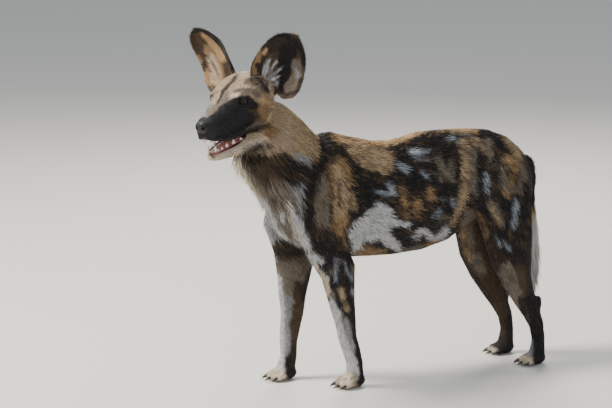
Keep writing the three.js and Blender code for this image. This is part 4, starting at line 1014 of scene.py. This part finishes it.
def spikes(name, place, facing, lie, length, width, lift, droop, colour):
    """Joined bent spikes of three sides. Lift and droop are shares of the length."""
    across = unit(np.cross(facing, lie))
    rise = np.cross(lie, across)
    length, width = np.broadcast_to(length, len(place)), np.broadcast_to(width, len(place))
    rings = []
    for share, thick in TUFT_RUNGS:
        proud = lift * length * share * (1.6 - 0.6 * share)
        centre = place + lie * (length * share)[:, None] + facing * proud[:, None]
        centre = centre - UP * (droop * length * share ** 2)[:, None]
        if share == 0:
            centre = centre - facing * (0.5 * width)[:, None]
        if share < 1:
            for side, high in TUFT_SECTION:
                rings.append(centre + (across * side + rise * high) * (width * thick)[:, None])
        else:
            rings.append(centre)
    points = np.stack(rings, axis=1)
    points[..., 2] = np.maximum(points[..., 2], FLOOR_CLEARANCE)
    count = len(place)
    index = (np.arange(count)[:, None, None] * 7 + TUFT_FACES[None]).ravel()
    mesh = bpy.data.meshes.new(name)
    mesh.vertices.add(count * 7)
    mesh.vertices.foreach_set("co", in_world(points.reshape(-1, 3)).ravel())
    mesh.loops.add(len(index))
    mesh.loops.foreach_set("vertex_index", index.astype(np.int32))
    mesh.polygons.add(len(index) // 3)
    mesh.polygons.foreach_set("loop_start", np.arange(0, len(index), 3, dtype=np.int32))
    mesh.polygons.foreach_set("use_smooth", np.ones(len(index) // 3, bool))
    mesh.update(calc_edges=True)
    # Painted shade: each tuft darker at the root among the other hairs and lighter at the tip.
    tone = np.repeat(np.array(PAINTED_TUFT_SHADE), (3, 3, 1))
    rows = np.ones((count, 7, 4), np.float32)
    rows[..., :3] = np.clip(colour[:, None, :] * tone[None, :, None], 0.003, 0.9)
    mesh.color_attributes.new("Coat", "FLOAT_COLOR", "POINT").data.foreach_set("color", rows.ravel())
    spread = np.array([(-0.5, -0.5), (0.5, -0.5), (0, -0.4), (-0.4, 0), (0.4, 0), (0, 0.1), (0, 0.5)])
    patch = bake_places(place, facing)[:, None] + spread[None] * BAKE_PATCH
    bake = mesh.uv_layers.new(name="OFBake")
    bake.data.foreach_set("uv", patch.reshape(-1, 2)[index].astype(np.float32).ravel())
    piece = bpy.data.objects.new(name, mesh)
    bpy.context.scene.collection.objects.link(piece)
    return piece


fur = Paint("fur", Roughness=0.5, Specular_IOR_Level=0.3)
fur.feed("Base Color", fur.node("ShaderNodeVertexColor", {"layer_name": "Coat"}, {}).outputs["Color"])


def laid_flat(way, facing):
    return unit(way - facing * (way * facing).sum(axis=1, keepdims=True))


def ear_lie(place, side):
    """Hair on an ear fans out from its root towards the rim."""
    root, tall, _, outer = ear_axes(side)
    out = (in_head(place) - root) @ outer
    return unit(tall + np.outer(np.clip(out / 90, -0.5, 0.5), outer)) @ HEAD_TURN.T


EAR_HAIR = 8.0
LASH_LENGTH = 2.2


def hair_tones(colour):
    """Each tuft a little lighter or darker than its patch, with odd hairs of another tone."""
    count = len(colour)
    colour = colour * np.exp(0.2 * draw.normal(size=(count, 1)))
    odd = draw.random(count)
    colour = np.where((odd < 0.1)[:, None], colour * 0.5, colour)
    return np.where((odd > 0.95)[:, None], colour * 0.6 + np.array(COAT_COLOURS["tan"]) * 0.3, colour)


def coat_piece(name, mask, spacing, width, lift, droop=0.0, wild=0.16, ear=None):
    place, facing = rooted(mask, spacing)
    way, size = coat_lie(place)
    length = size[:, 0]
    if ear:
        way, length = ear_lie(place, ear), np.full(len(place), EAR_HAIR)
    for side in SIDES:
        from_eye = np.linalg.norm(place - eye_centres[side], axis=1)
        length = np.minimum(length, LASH_LENGTH + 0.5 * np.clip(from_eye - EYE_RADIUS - 1, 0, 60))
    lie = laid_flat(way + wild * draw.normal(size=way.shape), facing)
    length = length * draw.uniform(0.7, 1.15, len(place))
    mixed = place + lie * (length * draw.uniform(-0.5, 0.35, len(place)))[:, None]
    mixed += 1.2 * width * draw.normal(size=place.shape)
    colour = hair_tones(coat_colour(mixed, facing))
    thick = width * draw.uniform(0.8, 1.2, len(place))
    piece = spikes(name, place, facing, lie, length, thick, lift, droop, colour)
    piece.data.materials.append(fur.material)
    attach(piece, "root")


x, y, z = triangle_middle.T
middle_at_head = in_head(triangle_middle)
ear_which = ear_of(triangle_middle)
on_ear = ear_which >= 0
on_head = ~on_ear & head_region(middle_at_head)
bare = mouth_inside(triangle_middle) > 0.4
bare |= lid_dark[skin_triangles].mean(axis=1) > 0.55
bare |= (middle_at_head[:, 0] < -88) & (middle_at_head[:, 2] > -75)
on_head &= ~bare
on_tail = (x > 506) & (np.abs(y) < 24) & (z > 150) & (z < 500) & (np.hypot(x - 526, y) < 24)
rest = ~on_ear & ~on_head & ~on_tail & ~bare
on_neck = rest & (x < -100) & (z > 455)
low = rest & ~on_neck & (z < 400)
on_fore, on_hind = low & (x < 60) & (z < 330), low & (x > 330)
on_paw = low & (z < 45)
on_trunk = rest & ~on_neck & ~on_fore & ~on_hind
for side, sign in SIDES.items():
    mask = y < 0 if sign < 0 else y >= 0
    head_half = (middle_at_head[:, 1] < 0) == (sign < 0)
    coat_piece(f"coat_trunk_{side}", on_trunk & mask, spacing=3.7, width=1.7, lift=0.16)
    coat_piece(f"coat_neck_{side}", on_neck & mask, spacing=3.6, width=1.7, lift=0.2, droop=0.1)
    coat_piece(f"coat_foreleg_{side}", on_fore & mask & ~on_paw, spacing=3.0, width=1.3, lift=0.14)
    coat_piece(f"coat_hindleg_{side}", on_hind & mask & ~on_paw, spacing=3.2, width=1.4, lift=0.14)
    coat_piece(f"coat_head_{side}", on_head & head_half, spacing=2.3, width=0.8, lift=0.15, wild=0.1)
    this_ear = ear_which == (sign > 0)
    coat_piece(f"coat_ear_{side}", on_ear & this_ear, spacing=2.3, width=0.8, lift=0.12, ear=side)
coat_piece("coat_paws", on_paw, spacing=2.6, width=0.9, lift=0.14)
coat_piece("coat_tail", on_tail, spacing=3.0, width=1.4, lift=0.2)

# Ruff
# Long coarse hair hangs from the throat and the sides of the neck in pointed locks.
RUFF_LENGTH = 40
RUFF_SPACING = 5.0
RUFF_WIDTH = 2.6
THROAT = np.array([-0.75, -0.1, -0.65])
ruff_place = on_neck & (triangle_facing @ THROAT > -0.05)
ruff_place &= (x < -130) & (middle_at_head[:, 2] < -25)
place, facing = rooted(ruff_place, RUFF_SPACING)
lie = laid_flat(coat_lie(place)[0], facing)
clump = np.stack([drift(place, 26, 21), drift(place, 26, 22), drift(place, 26, 23)], axis=1)
lie = unit(lie + 0.4 * clump + 0.12 * draw.normal(size=lie.shape))
front = smooth_step(facing @ unit(THROAT), -0.1, 0.8)
length = RUFF_LENGTH * (0.6 + 0.4 * front) * draw.uniform(0.75, 1.1, len(place))
colour = hair_tones(coat_colour(place + lie * (0.45 * length)[:, None], facing))
ruff = spikes("ruff", place, facing, lie, length, RUFF_WIDTH, 0.26, 0.12, colour)
ruff.data.materials.append(fur.material)
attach(ruff, "root")

# Brush of the tail
# The tail's long hair, dark near the root and white in the brush, hangs past the last bone.
BRUSH_LENGTH = 88
BRUSH_SHORTEST = 22
BRUSH_HAIRS = 5600
BRUSH_FROM = 0.26
BRUSH_END = 156
BRUSH_WIDTH = 2.2
TURNS_TAN, TURNS_WHITE = (368, 392), (346, 362)
rings, along, across, above = tube_sections(TAIL, 120)
share = draw.uniform(BRUSH_FROM, 1, BRUSH_HAIRS)
which = (share * (len(rings) - 1)).astype(int)
turn = draw.uniform(0, 2 * math.pi, len(share))
facing = across[which] * np.cos(turn)[:, None] + above[which] * np.sin(turn)[:, None]
place = rings[which, :3] + facing * rings[which, 3:4] * 0.9
lie = unit(along[which] + 0.06 * draw.normal(size=place.shape))
full = smooth_step(share, 0.3, 0.62) * (1 - 0.4 * smooth_step(share, 0.7, 1))
length = (BRUSH_SHORTEST + (BRUSH_LENGTH - BRUSH_SHORTEST) * full) * draw.uniform(0.6, 1.0, len(place))
length = np.clip(np.minimum(length, place[:, 2] - BRUSH_END), 12, None)
height = place[:, 2] - 0.5 * length + 14 * drift(place, 22, 31)
colour = np.tile(COAT_COLOURS["black"], (len(place), 1))
for tone, (low, high) in (("sand", TURNS_TAN), ("white", TURNS_WHITE)):
    turned = 1 - smooth_step(height, low, high)
    colour += (np.array(COAT_COLOURS[tone]) - colour) * turned[:, None]
lift = 0.16 * full + 0.06
brush = spikes("tail_brush", place, facing, lie, length, BRUSH_WIDTH, lift, 0.0, hair_tones(colour))
brush.data.materials.append(fur.material)
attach(brush, "root")

# Eyes
# Glass eyes with amber brown irises and a wet clear front that bulges a little.
for side in SIDES:
    sight, flat, high = eye_axes(side)
    eye = ball(f"eye_ball_{side}", eye_centres[side], EYE_RADIUS, rings=24)
    place = corners(eye)
    offset = place - eye_centres[side]
    ahead = offset @ sight / EYE_RADIUS
    bulge = 1 + 0.07 * smooth_step(ahead, 0.78, 0.9)
    put_corners(eye, eye_centres[side] + offset * bulge[:, None])
    made_smooth(eye)
    glass = Paint(f"eye_{side}", Roughness=0.2, Specular_IOR_Level=0.15, Coat_Weight=0.2,
                  Coat_Roughness=0.03)
    centre = in_world(eye_centres[side])
    aim = Matrix((flat, high, sight)).to_4x4() @ Matrix.Translation(-Vector(centre))
    spin, shift = aim.to_3x3().to_euler(), aim.to_translation()
    local = glass.node("ShaderNodeMapping", {"vector_type": "POINT"},
                       {"Vector": glass.place(), "Rotation": spin, "Location": shift})
    parts = glass.node("ShaderNodeSeparateXYZ", {}, {0: local.outputs[0]})
    wide, tall = Value(glass, parts.outputs[0]), Value(glass, parts.outputs[1])
    away = glass.number("ShaderNodeMath", {"operation": "SQRT"}, [wide * wide + tall * tall])
    streak = glass.noise(900, 3.0, place=local.outputs[0])
    ring = away * 100 + 0.03 * streak
    paint = glass.node("ShaderNodeValToRGB", {"stops": [
        (0.0, (0.002, 0.002, 0.002)), (0.33, (0.002, 0.002, 0.002)), (0.38, (0.03, 0.018, 0.007)),
        (0.55, (0.085, 0.052, 0.02)), (0.72, (0.035, 0.021, 0.008)), (0.80, (0.004, 0.004, 0.003)),
        (0.90, (0.03, 0.023, 0.02)), (1.0, (0.045, 0.035, 0.03))]}, {"Fac": ring})
    glass.feed("Base Color", paint.outputs[0])
    eye.data.materials.append(glass.material)
    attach(eye, "root")
    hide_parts(f"eye_{side}")

# Nose
# The bare black pad round the nostrils, pebbled and damp.
NOSE_VOXEL = 0.0007
nose = merged_copy("nose", 0.5)
nose.name = "nose_pad"
evened(nose, NOSE_VOXEL, 6)
made_smooth(nose)
leather = Paint("nose_leather", Specular_IOR_Level=0.4)
leather.shader.inputs["Base Color"].default_value = (0.007, 0.007, 0.008, 1)
pebbles = leather.number("ShaderNodeTexVoronoi", {"feature": "F1"},
                         {"Vector": leather.place(), "Scale": 700.0})
leather.feed("Roughness", 0.32 + 0.25 * pebbles)
leather.bump(1 - pebbles, 0.4, 0.0006)
nose.data.materials.clear()
nose.data.materials.append(leather.material)
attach(nose, "root")
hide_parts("nose")

# Teeth and tongue
# Ivory teeth stand in dark pink gums, and a wet pink tongue lies in the open mouth. Rows of
# teeth are the share along the half arch from the back, the radius and the height.
GUM_LINE = [(6, 29), (-22, 24), (-48, 19), (-70, 15), (-84, 10)]
TEETH = [
    (0.05, 4.2, 7), (0.13, 5.4, 12), (0.21, 4.8, 11), (0.28, 3.8, 8), (0.335, 3.2, 6),
    (0.385, 4.2, 18), (0.425, 2.0, 5), (0.455, 1.9, 5), (0.485, 1.9, 5),
]
TOOTH_RUNGS = ((0, 1.0), (0.35, 0.92), (0.7, 0.5), (0.93, 0.2))
GUM_RADIUS = 2.4
TONGUE_VOXEL = 0.001
gum_colour, ivory_colour = np.array([0.20, 0.055, 0.055]), np.array([0.70, 0.64, 0.53])
ivory = Paint("ivory", Roughness=0.28, Coat_Weight=0.3)
ivory.feed("Base Color", ivory.node("ShaderNodeVertexColor", {"layer_name": "Coat"}, {}).outputs["Color"])
for name, level, rise, spread in (("teeth_upper", -72, -1, 1.0), ("teeth_lower", -82, 1, 0.96)):
    arch = [(x - 3, y * spread, level) for x, y in GUM_LINE]
    arch = arch + [(-91, 0, level)] + [(x, -y, z) for x, y, z in reversed(arch)]
    line = curve_through(arch, 161)
    heading = unit(np.gradient(line, axis=0))
    points, faces, tints = [], [], []
    angles = 2 * math.pi * np.arange(8) / 8
    for ring, ahead in zip(line[::4], heading[::4]):
        sideways = unit(np.cross(ahead, UP))
        around = np.outer(np.cos(angles), sideways) + np.outer(np.sin(angles), UP)
        points.append(ring + GUM_RADIUS * around)
    rings_made = len(points)
    for ring in range(rings_made - 1):
        faces += [(ring * 8 + k, ring * 8 + (k + 1) % 8, ring * 8 + 8 + (k + 1) % 8, ring * 8 + 8 + k)
                  for k in range(8)]
    faces += [tuple(range(8))[::-1], tuple(range(rings_made * 8 - 8, rings_made * 8))]
    tints += [gum_colour] * (rings_made * 8)
    for share, radius, height in TEETH:
        for place in (share, 1 - share):
            at = int(place * 160)
            sideways = unit(np.cross(heading[at], UP))
            wide = radius * (1.0 if height > 12 or height < 6 else 1.15)
            for rung, (up, size) in enumerate(TOOTH_RUNGS):
                centre = line[at] + UP * rise * height * up
                points.append(centre + size * (np.outer(np.cos(angles) * radius * 0.62, sideways)
                                               + np.outer(np.sin(angles) * wide, heading[at])))
                base = sum(len(block) for block in points[:-1])
                if rung:
                    faces += [(base - 8 + k, base - 8 + (k + 1) % 8, base + (k + 1) % 8, base + k)
                              for k in range(8)]
                else:
                    faces.append(tuple(range(base, base + 8)))
            faces.append(tuple(range(base, base + 8))[::-1])
            tints += [gum_colour * 1.3] * 8 + [ivory_colour] * 24
    points = np.concatenate(points)
    if name == "teeth_lower":
        turn = np.array(Matrix.Rotation(GAPE, 3, "Y"))
        points = (points - JAW_JOINT) @ turn + JAW_JOINT
    teeth = faced_out(mesh_object(f"{name}_row", in_world(from_head(points)), faces))
    coloured(teeth, np.array(tints))
    made_smooth(teeth)
    teeth.data.materials.append(ivory.material)
    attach(teeth, "root")
    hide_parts(name)
tongue = merged_copy("tongue", 0.2)
tongue.name = "tongue_flesh"
evened(tongue, TONGUE_VOXEL, 8)
made_smooth(tongue)
wet = Paint("tongue_skin", Roughness=0.3, Coat_Weight=0.5, Subsurface_Weight=0.2)
wet.shader.inputs["Base Color"].default_value = (0.62, 0.24, 0.22, 1)
wet.bump(wet.noise(1500, 2.0), 0.3, 0.0005)
tongue.data.materials.clear()
tongue.data.materials.append(wet.material)
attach(tongue, "root")
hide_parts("tongue")

# Claws
# Blunt dark horn at the end of each toe.
PAWS = {"fore_left": (-2, -71, 1), "fore_right": (-113, 71, 1),
        "hind_left": (506, -67.45, 0.94), "hind_right": (498, 67.45, 0.94)}
TOES = ((-52, 10), (-52, -10), (-41, 25), (-41, -25))
CLAW_HEIGHT = 8.6
CLAW_RADIUS, CLAW_TIP, CLAW_LENGTH = 0.0034, 0.0006, 0.0155
CLAW_TURN = (0, -math.pi / 2 - 0.35, 0)
claws = []
for paw_x, paw_y, scale in PAWS.values():
    for toe_x, toe_y in TOES:
        cleared()
        place = in_world((paw_x + toe_x * scale, paw_y + toe_y * scale, CLAW_HEIGHT * scale))
        bpy.ops.mesh.primitive_cone_add(vertices=10, radius1=CLAW_RADIUS * scale, radius2=CLAW_TIP,
                                        depth=CLAW_LENGTH * scale, location=place, rotation=CLAW_TURN)
        claws.append(bpy.context.object)
claws = joined("claws", claws)
bpy.ops.object.transform_apply(location=True, rotation=True, scale=True)
bpy.ops.object.shade_smooth()
horn = Paint("horn", Roughness=0.4)
horn.shader.inputs["Base Color"].default_value = (0.03, 0.025, 0.022, 1)
claws.data.materials.append(horn.material)
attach(claws, "root")

# Whiskers
# Stiff black hairs on the lips, over the eyes and on the cheeks.
WHISKERS = [
    ((-70, 27, -52), (0.35, 0.9, -0.25), 38), ((-62, 30, -58), (0.45, 0.85, -0.35), 42),
    ((-54, 33, -54), (0.55, 0.8, -0.2), 46), ((-46, 35, -62), (0.6, 0.75, -0.35), 44),
    ((-60, 31, -48), (0.5, 0.85, 0.0), 40), ((-40, 37, -56), (0.65, 0.75, -0.2), 40),
    ((-2, 34, 17), (-0.1, 0.5, 0.85), 26), ((4, 36, 17), (0.15, 0.5, 0.85), 24),
    ((34, 52, -52), (0.5, 0.75, -0.4), 30),
]
hair_place, hair_way, hair_length = [], [], []
for place, way, length in WHISKERS:
    for sign in (-1, 1):
        hair_place.append(np.array(place) * [1, sign, 1])
        hair_way.append(np.array(way) * [1, sign, 1])
        hair_length.append(length)
hair_place = from_head(np.array(hair_place, float))
hair_way = unit(np.array(hair_way)) @ HEAD_TURN.T
nearest = [np.linalg.norm(skin_points - place, axis=1).argmin() for place in hair_place]
whiskers = spikes("whiskers", skin_points[nearest], skin_normals[nearest], hair_way,
                  np.array(hair_length, float), 0.9, 0.0, 0.12,
                  np.tile(COAT_COLOURS["black"], (len(nearest), 1)))
whiskers.data.materials.append(fur.material)
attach(whiskers, "root")

# The end
bpy.context.view_layer.update()
